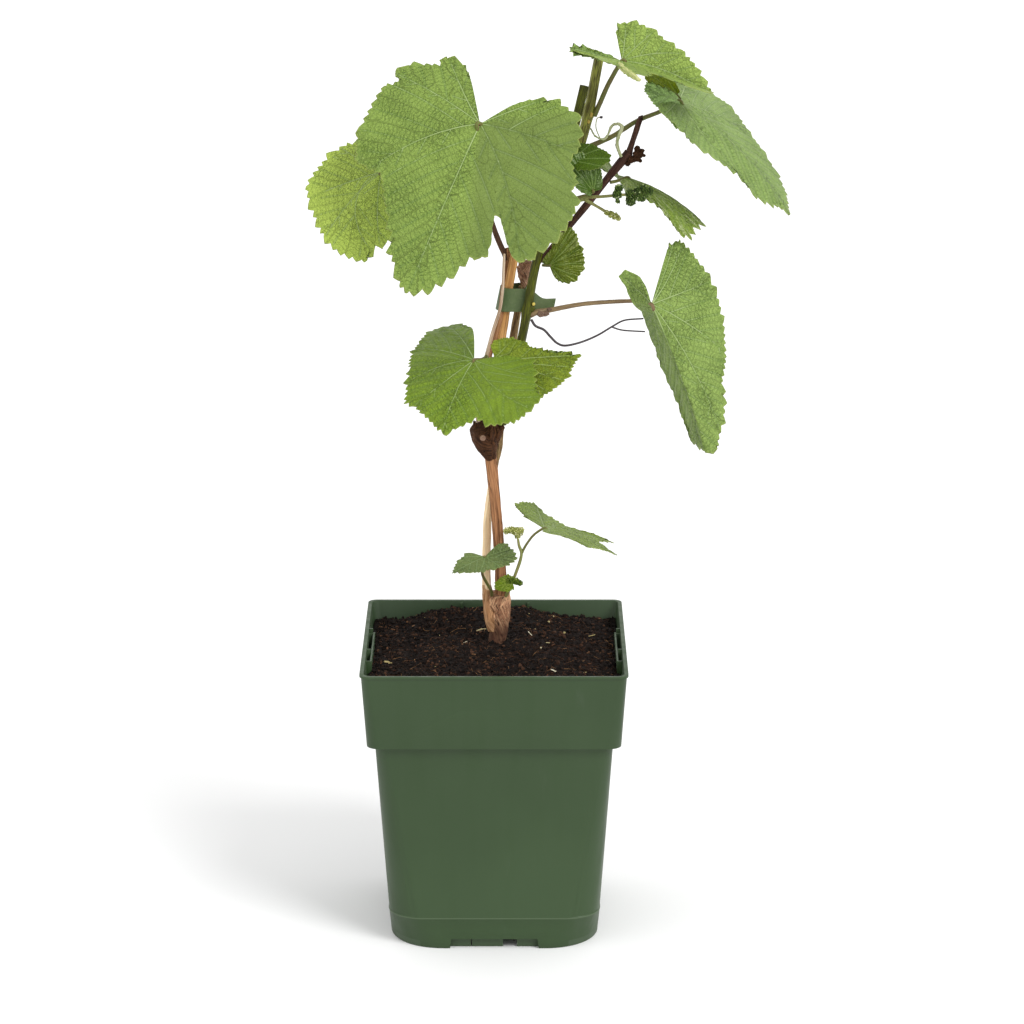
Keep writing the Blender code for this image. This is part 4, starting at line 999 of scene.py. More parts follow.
def make_leaves():
    """All the leaves, each with the greens of its own place on the plant."""
    pale_vein = (0.36, 0.45, 0.20)
    skins = dict(
        rib=rib_finish("pale_rib", (0.30, 0.38, 0.15), (0.22, 0.31, 0.09)),
        rib_dim=rib_finish("green_rib", (0.20, 0.27, 0.08), (0.14, 0.21, 0.045)),
        stalk=stalk_finish("leaf_stalk", (0.115, 0.150, 0.030), (0.150, 0.110, 0.045)),
        pink=stalk_finish("pink_stalk", (0.240, 0.165, 0.080), (0.150, 0.100, 0.055)),
        under=blade_finish("leaf_underside", (0.22, 0.31, 0.10), (0.40, 0.48, 0.24), 2.6, 0.3, 0.4, 0.15),
        mid=blade_finish("leaf_green", (0.218, 0.312, 0.060), pale_vein, 2.5, 0.75, tone=0.66),
        # The left leaf's green is raised past its own pale young tone: painted light for the light shining through it
        # from behind.
        light=blade_finish("leaf_light_green", (0.420, 0.550, 0.092), (0.54, 0.66, 0.28), 2.5, 0.45),
        fresh=blade_finish("leaf_fresh_green", (0.277, 0.384, 0.076), pale_vein, 2.4, 0.6),
        hanging=blade_finish("leaf_hanging_green", (0.240, 0.340, 0.080), pale_vein, 2.4, 0.7),
        deep=blade_finish("leaf_deep_green", (0.170, 0.260, 0.016), (0.36, 0.47, 0.15), 2.2, 0.8, tone=0.9),
        yellowed=blade_finish("leaf_yellow_green", (0.200, 0.262, 0.016), (0.36, 0.44, 0.12), 2.2, 0.6),
        greyed=blade_finish("leaf_grey_green", (0.224, 0.328, 0.082), pale_vein, 2.4, 0.5),
        # The wing's green is lightened well past its own colour: painted light against the shadow the top leaf casts
        # on it.
        wing=blade_finish("leaf_wing_painted_light_green", (0.450, 0.660, 0.230), (0.52, 0.66, 0.34), 2.4, 0.3),
        pocket=blade_finish("leaf_pocket_green", (0.230, 0.290, 0.006), (0.34, 0.40, 0.05), 2.0, 0.6),
        streaked=blade_finish("leaf_streaked_green", (0.220, 0.310, 0.045), (0.42, 0.48, 0.22), 2.0, 0.5,
                              streaks=0.6, streak=(0.56, 0.62, 0.32)),
        # The young and glossy blades' streaks are painted glints on their pleats.
        young=blade_finish("young_leaf_green", (0.060, 0.115, 0.006), (0.20, 0.30, 0.06), 1.4, 0.6,
                           streaks=0.5, streak=(0.50, 0.62, 0.34)),
        young_lobe=blade_finish("young_lobe_green", (0.066, 0.120, 0.002), (0.14, 0.22, 0.02), 1.4, 0.5),
        glossy=blade_finish("glossy_leaf_green", (0.112, 0.152, 0.001), (0.30, 0.38, 0.05), 1.4, 0.6,
                            streaks=0.5, streak=(0.60, 0.68, 0.24)),
        small=blade_finish("small_leaf_green", (0.160, 0.208, 0.068), (0.30, 0.38, 0.19), 1.6, 0.8),
        small_light=blade_finish("small_leaf_light_green", (0.240, 0.320, 0.060), (0.46, 0.54, 0.28), 1.6, 0.7),
        bright=blade_finish("seedling_green", (0.185, 0.260, 0.008), (0.38, 0.46, 0.08), 1.4, 0.9))
    pale_edge = stalk_finish("leaf_edge", (0.30, 0.36, 0.10), (0.48, 0.48, 0.22), 0.7)
    roll = limb("top_leaf_roll", (
        (69.4, -17, 508.3), (69.8, -25, 508.4), (71.2, -38, 508.4), (74.4, -50, 507.8), (77.8, -57.5, 506.4),
        (79.8, -58.5, 505)), (0.6, 1.3, 1.5, 1.4, 0.8), 16, 0.5,
        lambda out, place, travelled: 0.9 * noise.noise(place * 0.8))
    settle(roll, "leaf_top", "leaf", pale_edge)
    for name, leaf in LEAVES.items():
        piece = grow_leaf(name, leaf, skins)
    return skins


# ---------------------------------------------------------------- bark and green wood


def furrowed(depth, ridges, pitch, seed, rough=0.5):
    """Relief of bark: long ridges round a limb, and loose flakes over them, depth in mm."""
    def relief(out, place, travelled):
        twist = 0.5 * noise.noise(Vector((travelled / 30, seed, 0)))
        around = out * ridges / 3
        long = noise.noise(Vector((around.x + seed, around.y + twist, travelled / pitch + around.z)))
        flake = noise.noise(Vector((place.x / 1.6, place.y / 1.6, place.z / 5.0)) + Vector((seed, 0, 0)))
        return depth * (long + rough * flake)
    return relief


def dented(relief, *dents):
    """Adds dents to a relief: each a place in mm, a radius and a depth."""
    def shaped(out, place, travelled):
        proud = relief(out, place, travelled)
        for middle, radius, depth in dents:
            distance = (place - Vector(middle)).length / radius
            proud -= depth * math.exp(-distance * distance)
        return proud
    return shaped


def noded(seed, *nodes):
    """A ribbed shoot that swells at its nodes, each at a length along it in mm."""
    base = furrowed(0.12, 5, 40, seed, 0.3)

    def relief(out, place, travelled):
        ribs = 0.16 * math.sin(6 * math.atan2(out.y, out.x + 0.001) + travelled / 40)
        swells = sum(swell * math.exp(-((travelled - length) / 3.2) ** 2) for length, swell in nodes)
        return base(out, place, travelled) + ribs + swells
    return relief


def lumps(name, spots, *shape):
    """Several lumps of one kind, each a centre and a radius, in one piece or alone."""
    return [lump(name, centre, radius, *shape) for centre, radius in spots]


def make_old_wood():
    barks = {name: bark_finish(name + "_bark", *look) for name, look in {
        "brown": ((0.45, 0.215, 0.10), (0.19, 0.082, 0.036), (0.018, 0.008, 0.005), 0.6, 0.9, 0.5, 3.5),
        "pale": ((0.97, 0.81, 0.54), (0.88, 0.63, 0.36), (0.34, 0.18, 0.09), 0.2, 0.8, 0.3, 4.0),
        "orange": ((0.60, 0.33, 0.12), (0.38, 0.18, 0.06), (0.05, 0.02, 0.008), 0.2, 0.8, 0.4, 4.0),
        "tan": ((0.42, 0.215, 0.10), (0.25, 0.115, 0.052), (0.045, 0.018, 0.010), 0.3, 0.9, 0.4, 3.0),
        "ashen": ((0.64, 0.50, 0.37), (0.42, 0.29, 0.19), (0.18, 0.10, 0.06), 0.2, 1.0, 0.3, 3.0),
        "dark_twig": ((0.115, 0.060, 0.034), (0.060, 0.030, 0.018), (0.014, 0.007, 0.005), 0.4, 1.2, 0.3, 2.5),
        "flaky": ((0.84, 0.50, 0.28), (0.32, 0.145, 0.080), (0.016, 0.007, 0.004), 1.0, 1.3, 1.0, 0.8,
                  (0.171, 0.188)),
        "tawny": ((0.62, 0.36, 0.19), (0.40, 0.20, 0.09), (0.06, 0.028, 0.014), 0.5, 1.0, 0.8, 1.5),
        "mottled": ((0.40, 0.28, 0.13), (0.17, 0.10, 0.045), (0.020, 0.012, 0.006), 0.6, 1.0, 0.5, 2.0),
        "knot": ((0.125, 0.052, 0.022), (0.054, 0.022, 0.010), (0.008, 0.004, 0.003), 0.9, 1.3, 0.9, 0.8),
        "pink_knot": ((0.56, 0.34, 0.22), (0.30, 0.15, 0.09), (0.020, 0.009, 0.006), 1.0, 1.7, 0.9, 0.5),
    }.items()}
    cut = bark_finish("cut_wood", (0.46, 0.30, 0.21), (0.28, 0.16, 0.11), (0.06, 0.03, 0.02), 0.4, 2.4, 0.3)
    trunk_relief = dented(
        furrowed(0.75, 3.4, 16, 2.0, 0.8), ((-1.8, -3.6, 185.5), 1.5, 2.4), ((0.6, -5.2, 193), 1.3, 2.2),
        ((1.6, -5.4, 190), 1.1, 2.0), ((2.6, -5.4, 187), 1.1, 1.8), ((3.8, -5.0, 184), 1.1, 1.6),
        ((4.6, -4.4, 180.5), 1.1, 1.3))
    for name, node, slot, bark, points, radii, sides, step, relief in (
        ("trunk", "trunk", "bark", "flaky",
         ((1.5, 3, 165.5), (1.5, 3, 167.45), (2.2, 3, 174), (2.6, 2.6, 183), (2.4, 2.4, 190), (2.2, 2.2, 196)),
         (5.4, 4.8, 5.4, 6.4, 7.0, 6.4), 72, 0.4, trunk_relief),
        ("pale_stem_foot", "pale_stem", "pale_bark", "tawny",
         ((-1.4, 0.4, 174), (-2.4, -0.6, 181), (-3.6, 0.4, 189), (-4.4, 2.6, 198), (-4.5, 3, 201)),
         (2.4, 3.2, 3.2, 2.7, 2.5), 36, 0.4, furrowed(0.6, 4, 10, 4.0, 0.9)),
        ("pale_stem", "pale_stem", "pale_bark", "pale",
         ((-4.3, 2, 196), (-4.5, 2.6, 200), (-4.7, 3.4, 212), (-4.3, 4.0, 228), (-3.8, 4.2, 241),
          (-1.6, 4.2, 258), (-0.3, 4.2, 267)),
         (2.5, 2.5, 2.4, 2.4, 2.1), 32, 0.9, furrowed(0.22, 4, 24, 5.0, 0.6)),
        ("pale_stem_upper", "pale_stem", "pale_bark", "mottled",
         ((-1.0, 4.2, 262), (0.4, 3.2, 272), (2.6, 0.6, 284), (3.4, 1.2, 293), (6.2, 3.5, 317),
          (10.5, 4, 345), (16, 4.7, 377.5)),
         (2.0, 1.9, 2.0, 2.1, 2.2, 2.0), 32, 0.8, furrowed(0.3, 4, 16, 6.0, 0.6)),
        ("brown_stem", "brown_stem", "bark", "brown",
         ((3.8, 0.4, 193), (3.8, 0, 199.6), (3.4, -0.5, 212), (2.4, -1.4, 229.6), (0.4, -2.6, 253.5),
          (-0.9, -3.4, 267), (-2.1, -4, 281)),
         (3.9, 3.5, 3.3, 3.2, 3.3, 3.5), 40, 0.7, furrowed(0.5, 5, 30, 8.0, 0.5)),
        ("cane_a", "cane_a", "pale_bark", "ashen",
         ((-9.2, -8, 300.4), (-8.4, -8.6, 319), (-5.6, -9.2, 335), (-3.7, -9.5, 342.4), (-0.3, -9.5, 355.2),
          (3.1, -9.9, 366.2), (4.3, -10, 373.2), (5.1, -9.6, 380.1), (5.4, -7, 388.2), (5.8, -4, 398)),
         (1.3, 1.2, 0.95, 0.75, 0.75), 22, 0.9, furrowed(0.1, 3, 20, 11.0)),
        ("cane_a_twig", "cane_a", "pale_bark", "dark_twig",
         ((6.6, -3, 394.4), (5.4, -3, 398.9), (3.1, -2.4, 404.1), (0.7, -1, 410), (-3.9, 1, 424.5)),
         (1.1, 1.6, 1.6, 1.2), 22, 0.8, furrowed(0.16, 3, 14, 12.0)),
        ("cane_b", "cane_b", "bark", "tan",
         ((-5.9, -2, 300), (-5.0, -3.4, 325), (-2.9, -4.4, 340), (-0.1, -5.2, 347.5), (1.7, -5.6, 354),
          (3.7, -5.6, 361.6), (4.8, -4.6, 370.3), (6.0, -3, 379.6), (7.2, -2, 388), (7.9, -1, 400.5)),
         (2, 1.9, 1.9, 1.9, 1.9), 26, 0.9, furrowed(0.2, 4, 20, 14.0)),
        ("cane_c", "cane_c", "pale_bark", "orange",
         ((-1.8, -7, 299.8), (1.1, -6, 328), (6.2, -4.5, 363), (8.5, -4.5, 380), (13, -6, 405)),
         (2.85, 2.7, 2.5, 2.3), 30, 0.9, furrowed(0.22, 4, 22, 17.0)),
    ):
        settle(limb(name, points, radii, sides, step, relief), node, slot, barks[bark])
    make_lower_knot(barks["knot"], cut)
    make_upper_knot(barks["pink_knot"])
    return barks["knot"]


def make_lower_knot(dark, cut):
    """The old head of the vine: a dark knot with a cut stub, a dead spike and loose bark."""
    knot = limb("lower_knot", (
        (-2.1, -4.6, 278.4), (-2.8, -4.9, 281.5), (-3.8, -5.4, 285.5), (-4.9, -6, 291), (-5, -6, 296),
        (-4.6, -6, 300.2)), (3.2, 4.3, 6.2, 8.0, 9.0, 6.4), 64, 0.4, dented(
            furrowed(0.7, 4, 14, 21.0, 0.7), ((-4.5, -14, 298), 1.8, 2.4), ((-9.5, -12, 289), 1.4, 1.2),
            ((-1, -13.6, 290), 1.5, 1.4), ((-3, -14.4, 295), 1.2, 1.8)))
    stub = limb("cut_stub", ((-6.4, -10, 294.4), (-6.4, -13, 294), (-6.4, -15.9, 293.7)), (2.9, 2.6, 2.2), 24,
                0.4, furrowed(0.2, 4, 5, 23.0), 0.1)
    face = limb("cut_face", ((-6.4, -15.2, 293.75), (-6.4, -16.1, 293.7)), (1.75, 1.7), 20, 0.3, None, 0.1)
    spike = limb("dead_spike", ((-10, -8.5, 290), (-10.8, -9.8, 297), (-11.5, -11, 302.5)), (2.0, 1.5, 0.5), 20,
                 0.4, furrowed(0.35, 4, 6, 25.0))
    spur = limb("knot_spur", ((0, -6, 290), (2.6, -6, 295), (4.6, -6, 298.4)), (3.3, 2.6, 1.8), 24, 0.4,
                furrowed(0.3, 4, 8, 27.0))
    flaps = []
    foot = 292.5
    for middle, height, turn in (((-9.6, -10.6), 9, 0.3), ((-1.5, -13), 7, 0.0), ((2.6, -11), 6, -0.4),
                                 ((-12.4, -6), 7, 0.2), ((3.8, -3), 8, 0.1), ((-8, 1.8), 7, -0.2)):
        low = Vector((*middle, foot))
        out = (low - Vector((-5, -6, foot))).normalized() * 0.5
        run = (low - out, low + out + Vector((turn, 0, height / 2)), low - out + Vector((2 * turn, 0, height)))
        flaps.append(limb("bark_flap", run, (1.4, 1.3, 0.3), 12, 0.6, furrowed(0.25, 4, 6, height)))
    settle(join("lower_knot", knot, stub, spike, spur, *flaps), "lower_knot", "knot_bark", dark)
    settle(face, "lower_knot", "knot_bark", cut)


def make_upper_knot(pink):
    knot = limb("upper_knot", (
        (17.6, 4.7, 374.6), (17.8, 5.2, 378), (18.2, 5.8, 382.5), (18.4, 5.8, 387), (18.6, 6, 391.4)),
        (1.6, 2.4, 4.3, 5.4, 3.6), 56, 0.4, dented(
            furrowed(1.0, 3, 6, 31.0, 1.2), ((17, 0.5, 384.5), 1.2, 0.9), ((20, 1, 381), 1.0, 0.8)))
    eye = limb("knot_eye", ((15.2, 2.6, 388), (13.4, 1.4, 389.4)), (1.8, 0.9), 18, 0.4, furrowed(0.3, 4, 3, 33.0))
    settle(join("upper_knot", knot, eye), "upper_knot", "knot_bark", pink)


def make_green_wood(dark):
    green = stalk_finish("green_shoot", (0.086, 0.098, 0.003), (0.028, 0.029, 0.002), 0.5)
    olive = stalk_finish("olive_shoot", (0.270, 0.280, 0.050), (0.066, 0.056, 0.014), 0.5)
    husk = bark_finish("bud_husk", (0.32, 0.22, 0.16), (0.18, 0.10, 0.07), (0.04, 0.02, 0.015), 0.8, 1.5)
    yellow = rib_finish("yellow_bud", (0.62, 0.50, 0.10), (0.40, 0.28, 0.05))

    main = limb("main_shoot", (
        (4.8, -6.5, 299.6), (9, -9, 323), (15, -11, 347), (19, -12, 367.5), (24.6, -10, 397.5),
        (37, -8, 439.5), (45.6, -6, 472.5), (50.6, -5, 493.8)),
        (2.4, 2.4, 2.5, 2.6), 30, 0.8, noded(41.0, (68.5, 0.75), (143, 0.5)), 0.1)
    bud = lump("main_bud", (21.4, -13, 368.6), 1.7, 1.4, 0.2)
    settle(join("main_shoot", main, bud), "main_shoot", "green_shoot", green)
    settle(lump("main_eye", (22.4, -14, 371.2), 0.85, 1.2, 0.3), "main_shoot", "green_shoot", yellow)
    husks = lumps("bud_husk", (
        ((26.3, -13, 365.6), 2.3), ((29.3, -12.6, 365.4), 1.8), ((31.2, -12, 367.8), 1.2),
        ((28, -12.5, 364.6), 1.0)), 0.8, 0.6, 3, 0.4)
    settle(join("bud_husk", *husks), None, "bark", husk)

    second = limb("second_shoot", (
        (24.9, -9, 398), (29.4, -1, 404), (37.3, 1.5, 420.5), (43.8, 2.5, 444), (52.2, 4, 472.5),
        (58.7, 4, 507.5)), (1.6, 2.2, 2.7, 2.8, 2.7), 30, 0.8, noded(43.0, (89, 0.7)), 0.1)
    settle(second, "second_shoot", "green_shoot", olive)
    marks = lumps("shoot_eye", (((54.6, 1.4, 476.5), 1.0), ((53.2, 1.5, 472.6), 0.8)), 1.5, 0.3)
    settle(join("second_eye", *marks), "second_shoot", "green_shoot", yellow)

    spur = limb("spur_cane", (
        (23.7, 7.2, 388.6), (30.6, 8, 396.7), (42.5, 8, 411.5), (55.5, 7, 428), (67.2, 7, 443),
        (76.2, 7, 453.8)), (1.1, 1.5, 2.0, 2.1, 2.8), 28, 0.7, furrowed(0.22, 4, 14, 51.0))
    tip = limb("spur_tip", ((75.5, 7, 451), (76.6, 7, 455), (78.4, 7, 461), (82.2, 7, 472.6), (83.0, 6.8, 473.6)),
               (2.6, 1.9, 1.5, 1.6, 1.8), 24, 0.5, furrowed(0.2, 4, 8, 53.0), 0.1)
    knobs = lumps("dried_bud", (
        ((77, 5.4, 450.4), 2.2), ((79, 5.2, 450.8), 1.9), ((80.8, 6, 456.2), 1.7), ((82.4, 5.2, 453.4), 1.9),
        ((81, 4.6, 450.8), 1.7), ((83.6, 5.4, 455.4), 1.2), ((84.6, 5, 452.6), 0.9), ((80, 4.4, 453.6), 1.8),
        ((75.6, 5.6, 447.8), 1.5), ((82.6, 4.8, 449.6), 1.0)), 1, 0.5, 3, 0.45)
    wood = bark_finish("spur_bark", (0.095, 0.045, 0.030), (0.046, 0.020, 0.014), (0.012, 0.006, 0.005),
                       0.5, 1.2, 0.5, 2.0)
    settle(join("spur_cane", spur, tip), "spur_cane", "bark", wood)
    settle(join("dried_buds", *knobs), "spur_cane", "bark", dark)


def make_tie():
    """Green tape once round the canes, with its loose end out to the right."""
    plan = ((35, -5.6), (31, -6.3), (27, -7.0), (23, -7.7), (19, -8.3), (15.5, -8.6), (12, -8.5), (9.5, -8.5),
            (7.5, -8.2), (5.6, -7.6), (4.4, -6.5), (3.4, -4), (2.4, -1.5), (2.2, 1.5), (4, 4), (6, 5.2), (8, 6),
            (10.5, 7.1), (13, 7.8), (15.3, 7.9), (16.8, 7.3), (17.9, 6.0), (18.3, 4.5), (18.3, 2.2), (18, 0),
            (17.4, -2.2), (16.5, -4))
    rows = 9
    width = 13.4
    middle = 372.2
    points = []
    for x, y in plan:
        for row in range(rows):
            edge = row / (rows - 1) - 0.5
            taper = 0.02 if edge < 0 else 0.14
            rise = edge * width * max(1 - taper * max(0.0, x - 20), 0.08)
            buckle = 0.35 * noise.noise(Vector((x / 4, y / 4, rise / 5)))
            wave = 0.3 * noise.noise(Vector((x / 3, 5, row)))
            points.append(Vector((x + 0.2 * rise, y - buckle, middle + rise + wave)) * MM)
    tie = mesh_piece("tie", points, grid_faces(len(plan), rows))
    smooth = tie.modifiers.new("smooth", "SUBSURF")
    smooth.levels = smooth.render_levels = 2
    skin = tie.modifiers.new("thickness", "SOLIDIFY")
    skin.thickness = 0.45 * MM
    skin.offset = 0
    apply_modifiers(tie)
    settle(tie, "tie", "tape", tape_finish())


# ---------------------------------------------------------------- fine growth


def make_fine_growth(skins):
    wire = stalk_finish("tendril_skin", (0.075, 0.065, 0.070), (0.040, 0.030, 0.034), 0.4)
    pale = stalk_finish("pale_tendril_skin", (0.20, 0.24, 0.10), (0.42, 0.42, 0.26), 0.7)
    stalk = stalk_finish("cluster_stalk_skin", (0.20, 0.24, 0.07), (0.24, 0.20, 0.08), 0.6)
    # The flower buds' lightest tone, on a random few beads, is painted highlight.
    berry = crumb_finish("flower_buds", (0.020, 0.040, 0.006), (0.085, 0.140, 0.022), (0.48, 0.58, 0.26), 0.5)
    pale_berry = crumb_finish("pale_buds", (0.20, 0.22, 0.04), (0.42, 0.44, 0.14), (0.72, 0.70, 0.44), 0.6)
    bright = crumb_finish("bright_buds", (0.05, 0.09, 0.006), (0.12, 0.18, 0.012), (0.34, 0.42, 0.08), 0.5)

    hold = limb("tendril", (
        (21.1, -13.9, 362.2), (23.5, -14, 358.6), (28.2, -14.2, 356.4), (32.0, -14.6, 352.4), (35.8, -15, 348.8),
        (40.6, -15.8, 347.6), (49.6, -15.4, 349.6), (58.8, -13.6, 353.2), (67, -11, 357.6), (74, -8.4, 360.6),
        (84.6, -8.5, 361.6)), (0.8, 0.72, 0.6, 0.45), 12, 0.8)
    fork = limb("tendril_fork", ((66.5, -11.2, 357.4), (73, -10, 355.2), (85.5, -11, 354.6)), (0.5, 0.42), 12, 0.8)
    settle(join("tendril", hold, fork), "tendril", "tendril", wire)

    curl = limb("curled_tendril", (
        (54.3, 1.6, 468.6), (56.7, -3.5, 465.4), (61.2, -4, 463.4), (64, -1, 465.5), (66.3, 0, 470.4),
        (69.6, -2, 471.8), (71.8, -3, 470.3), (70.2, -4, 466), (69.1, -4, 460.3), (71.4, -4, 453.5)),
        (0.42, 0.55, 0.8, 1.1, 0.9), 14, 0.5, lambda out, place, travelled: 0.4 * noise.noise(place * 1.3))
    loop = limb("tendril_loop", ((59.5, -4, 464), (57.3, -3, 469.7), (57.8, -2, 474.7), (59.5, -2, 475.5)),
                (0.30, 0.32), 12, 0.6)
    settle(join("curled_tendril", curl, loop), "curled_tendril", "pale_tendril", pale)
    tip = lump("tendril_tip", (60.2, -2, 475.6), 0.9, 0.8, 0.4)
    settle(tip, "curled_tendril", "pale_tendril", wire)

    stem = limb("cluster_stem", ((43.2, 0.9, 426.4), (47, 0, 428.5), (53, -1, 430.1)), (1.9, 1.9, 2.0), 20, 0.6,
                furrowed(0.15, 4, 10, 61.0))
    arm = limb("cluster_arm", ((52, -1, 430), (60, -6, 431.2), (70, -11, 433), (86, -13, 434.5)),
               (0.95, 0.85, 0.8), 14, 0.7)
    shoot = limb("cluster_shoot", ((51, -1.5, 429), (58, -3.5, 425.2), (63, -4, 422.2)), (1.1, 0.8, 0.8), 16, 0.6,
                 furrowed(0.15, 4, 6, 63.0))
    settle(join("cluster_stalk", stem, arm, shoot), "flower_cluster", "buds", stalk)
    make_beads("flower_buds", "flower_cluster", berry, 0.60, (
        ((70.1, -11, 437), 2.2, 44), ((69.2, -11.5, 433.6), 2.7, 60), ((69.5, -12, 429.8), 1.2, 16),
        ((76.4, -12, 433.8), 2.7, 60), ((76.8, -12.5, 430), 2.8, 64), ((80.7, -12.5, 436), 2.2, 44),
        ((81.3, -13, 432.4), 2.5, 52), ((83.5, -12.5, 431.2), 1.6, 26), ((84.2, -12.5, 437), 2.2, 44),
        ((87, -12.5, 435.6), 2.2, 44), ((84.8, -12.5, 433.8), 2.0, 36)))
    make_beads("pale_buds", "flower_cluster", pale_berry, 0.55, (
        ((63.6, -4, 421.7), 1.4, 26), ((66.0, -4, 420.7), 1.9, 44), ((68.3, -4, 419.6), 1.9, 44),
        ((70.2, -4, 418.4), 1.3, 22)))

    rise = limb("base_shoot", (
        (5.4, 0.4, 193), (8.0, -4.0, 199), (11.4, -7, 208), (15.6, -8, 221.5), (14.2, -8, 228), (13.4, -8, 233)),
        (1.3, 0.95, 0.9, 0.7), 16, 0.6, furrowed(0.12, 4, 12, 71.0))
    settle(rise, "base_shoot", "leaf", stalk)
    make_beads("crown_buds", "base_shoot", pale_berry, 0.6, (
        ((7.2, -8, 236.6), 2.0, 26), ((9.4, -8, 237.0), 2.0, 28), ((11.8, -8.5, 236.6), 2.3, 34),
        ((14.2, -8, 236.0), 2.5, 40), ((13.4, -8, 233.4), 1.6, 20), ((15.6, -8, 237.2), 1.4, 16)))
    make_beads("young_buds", "base_shoot", bright, 0.6, (
        ((12.4, -9.2, 206.7), 1.9, 26), ((14.6, -9.0, 205.6), 1.7, 20), ((9.8, -9.5, 208), 2.0, 26)))
    grow_leaf("seedling_leaf", SEEDLING, skins)


def make_beads(name, node, finish, radius, heaps):
    """Heaps of tiny flower buds: one bead copied over lumps, each with its own turn and size."""
    mesh = bmesh.new()
    for centre, reach, count in heaps:
        for index in range(count):
            height = 1 - 2 * (index + 0.5) / count
            turn = index * 2.4
            flat = math.sqrt(1 - height * height)
            out = Vector((flat * math.cos(turn), flat * math.sin(turn), height))
            spot = Vector(centre) + out * reach * random.uniform(0.80, 1.02)
            size = radius * random.uniform(0.75, 1.15)
            made = bmesh.ops.create_icosphere(mesh, subdivisions=1, radius=size * MM,
                                              matrix=Matrix.Translation(spot * MM))
            for vertex in made["verts"]:
                vertex.co += Vector([random.uniform(-0.08, 0.08) * MM for _ in range(3)])
        bmesh.ops.create_icosphere(mesh, subdivisions=2, radius=reach * 0.68 * MM,
                                   matrix=Matrix.Translation(Vector(centre) * MM))
    for face in mesh.faces:
        face.smooth = True
    settle(link_bmesh(name, mesh), node, "buds", finish)


# ---------------------------------------------------------------- pot

POT_HEIGHT = 170 * MM
RIM_HALF = 76 * MM
RIM_FLANGE = 1.5 * MM
LIP_HALF = 75.2 * MM
LIP_FOOT_HALF = 72.4 * MM
LIP_FOOT = 126 * MM
BODY_HALF = 67.9 * MM
BASE_HALF = 60.6 * MM
BEAD_HALF = 61.3 * MM
BEAD_PROUD = 0.25 * MM
BEAD_HEIGHT = 19 * MM
WALL = 1.5 * MM
FLOOR_UNDER = 6.5 * MM
FLOOR_TOP = 8 * MM
LIP_CORNER = 5.5 * MM
BODY_CORNER = 7 * MM
BEAD_CORNER = 20 * MM
BASE_CORNER = 31 * MM
CORNER_STEPS = 14
FOOT_RADIUS = 20 * MM
FOOT_DEPTH = 7.3 * MM
DRAIN_RADIUS = 6 * MM
DRAIN_REACH = 38 * MM
RIB_ASIDE = 20      # mm from the middle of a side to each of its ribs


def rounded_square(mesh, half, corner, height):
    ring = []
    for quarter in range(4):
        middle = math.radians(45 + 90 * quarter)
        reach = (half - corner) * math.sqrt(2)
        centre = Vector((reach * math.cos(middle), reach * math.sin(middle), height))
        for step in range(CORNER_STEPS + 1):
            angle = math.radians(90 * (quarter + step / CORNER_STEPS))
            ring.append(mesh.verts.new(centre + corner * Vector((math.cos(angle), math.sin(angle), 0))))
    return ring


def pot_walls():
    """The tub: up the outside from the recess under its floor, over the rim and down the inside."""
    sections = (
        (BASE_HALF - 3.5 * MM, BASE_CORNER - 3.5 * MM, FLOOR_UNDER),
        (BASE_HALF - 3.2 * MM, BASE_CORNER - 3.2 * MM, 0),
        (BASE_HALF - 0.9 * MM, BASE_CORNER - 0.9 * MM, 0),
        (BASE_HALF - 0.3 * MM, BASE_CORNER - 0.3 * MM, 0.8 * MM),
        (BASE_HALF, BASE_CORNER, 4 * MM),
        (BASE_HALF + 0.35 * MM, 25 * MM, 11.5 * MM),
        (BEAD_HALF, BEAD_CORNER, BEAD_HEIGHT - 0.8 * MM),
        (BEAD_HALF + BEAD_PROUD, BEAD_CORNER, BEAD_HEIGHT - 0.3 * MM),
        (BEAD_HALF + BEAD_PROUD, BEAD_CORNER, BEAD_HEIGHT + 0.3 * MM),
        (BEAD_HALF, BEAD_CORNER, BEAD_HEIGHT + 0.8 * MM),
        (BODY_HALF, BODY_CORNER, LIP_FOOT - 0.4 * MM),
        (LIP_FOOT_HALF, BODY_CORNER, LIP_FOOT),
        (LIP_HALF, LIP_CORNER, POT_HEIGHT - RIM_FLANGE),
        (RIM_HALF, LIP_CORNER, POT_HEIGHT - RIM_FLANGE + 0.2 * MM),
        (RIM_HALF, LIP_CORNER, POT_HEIGHT),
        (LIP_HALF - WALL, LIP_CORNER - 1 * MM, POT_HEIGHT),
        (LIP_FOOT_HALF - WALL, BODY_CORNER - 1 * MM, LIP_FOOT + WALL),
        (BODY_HALF - WALL, BODY_CORNER - 1 * MM, LIP_FOOT + WALL - 0.4 * MM),
        (BEAD_HALF - WALL, BEAD_CORNER - 1 * MM, BEAD_HEIGHT),
        (BASE_HALF - WALL - 0.6 * MM, BASE_CORNER - 2 * MM, FLOOR_TOP),
    )
    mesh = bmesh.new()
    rings = [rounded_square(mesh, *section) for section in sections]
    for lower, upper in zip(rings, rings[1:]):
        for index in range(len(lower)):
            following = (index + 1) % len(lower)
            mesh.faces.new((lower[index], lower[following], upper[following], upper[index]))
    mesh.faces.new(rings[0])
    mesh.faces.new(rings[-1])
    bmesh.ops.recalc_face_normals(mesh, faces=mesh.faces)
    return link_bmesh("pot", mesh)


def bar(size, centre, quarter=0, taper=1.0):
    """A small block on one side of the pot, in mm, turned to that side."""
    deselect_all()
    bpy.ops.mesh.primitive_cube_add(size=1, location=Vector(centre) * MM)
    piece = bpy.context.object
    for vertex in piece.data.vertices:
        narrow = taper if vertex.co.z > 0 else 1.0
        vertex.co = Vector((vertex.co.x * size[0] * narrow, vertex.co.y * size[1], vertex.co.z * size[2])) * MM
    apply_place(piece)
    piece.data.transform(Matrix.Rotation(math.radians(90 * quarter), 4, "Z"))
    return piece


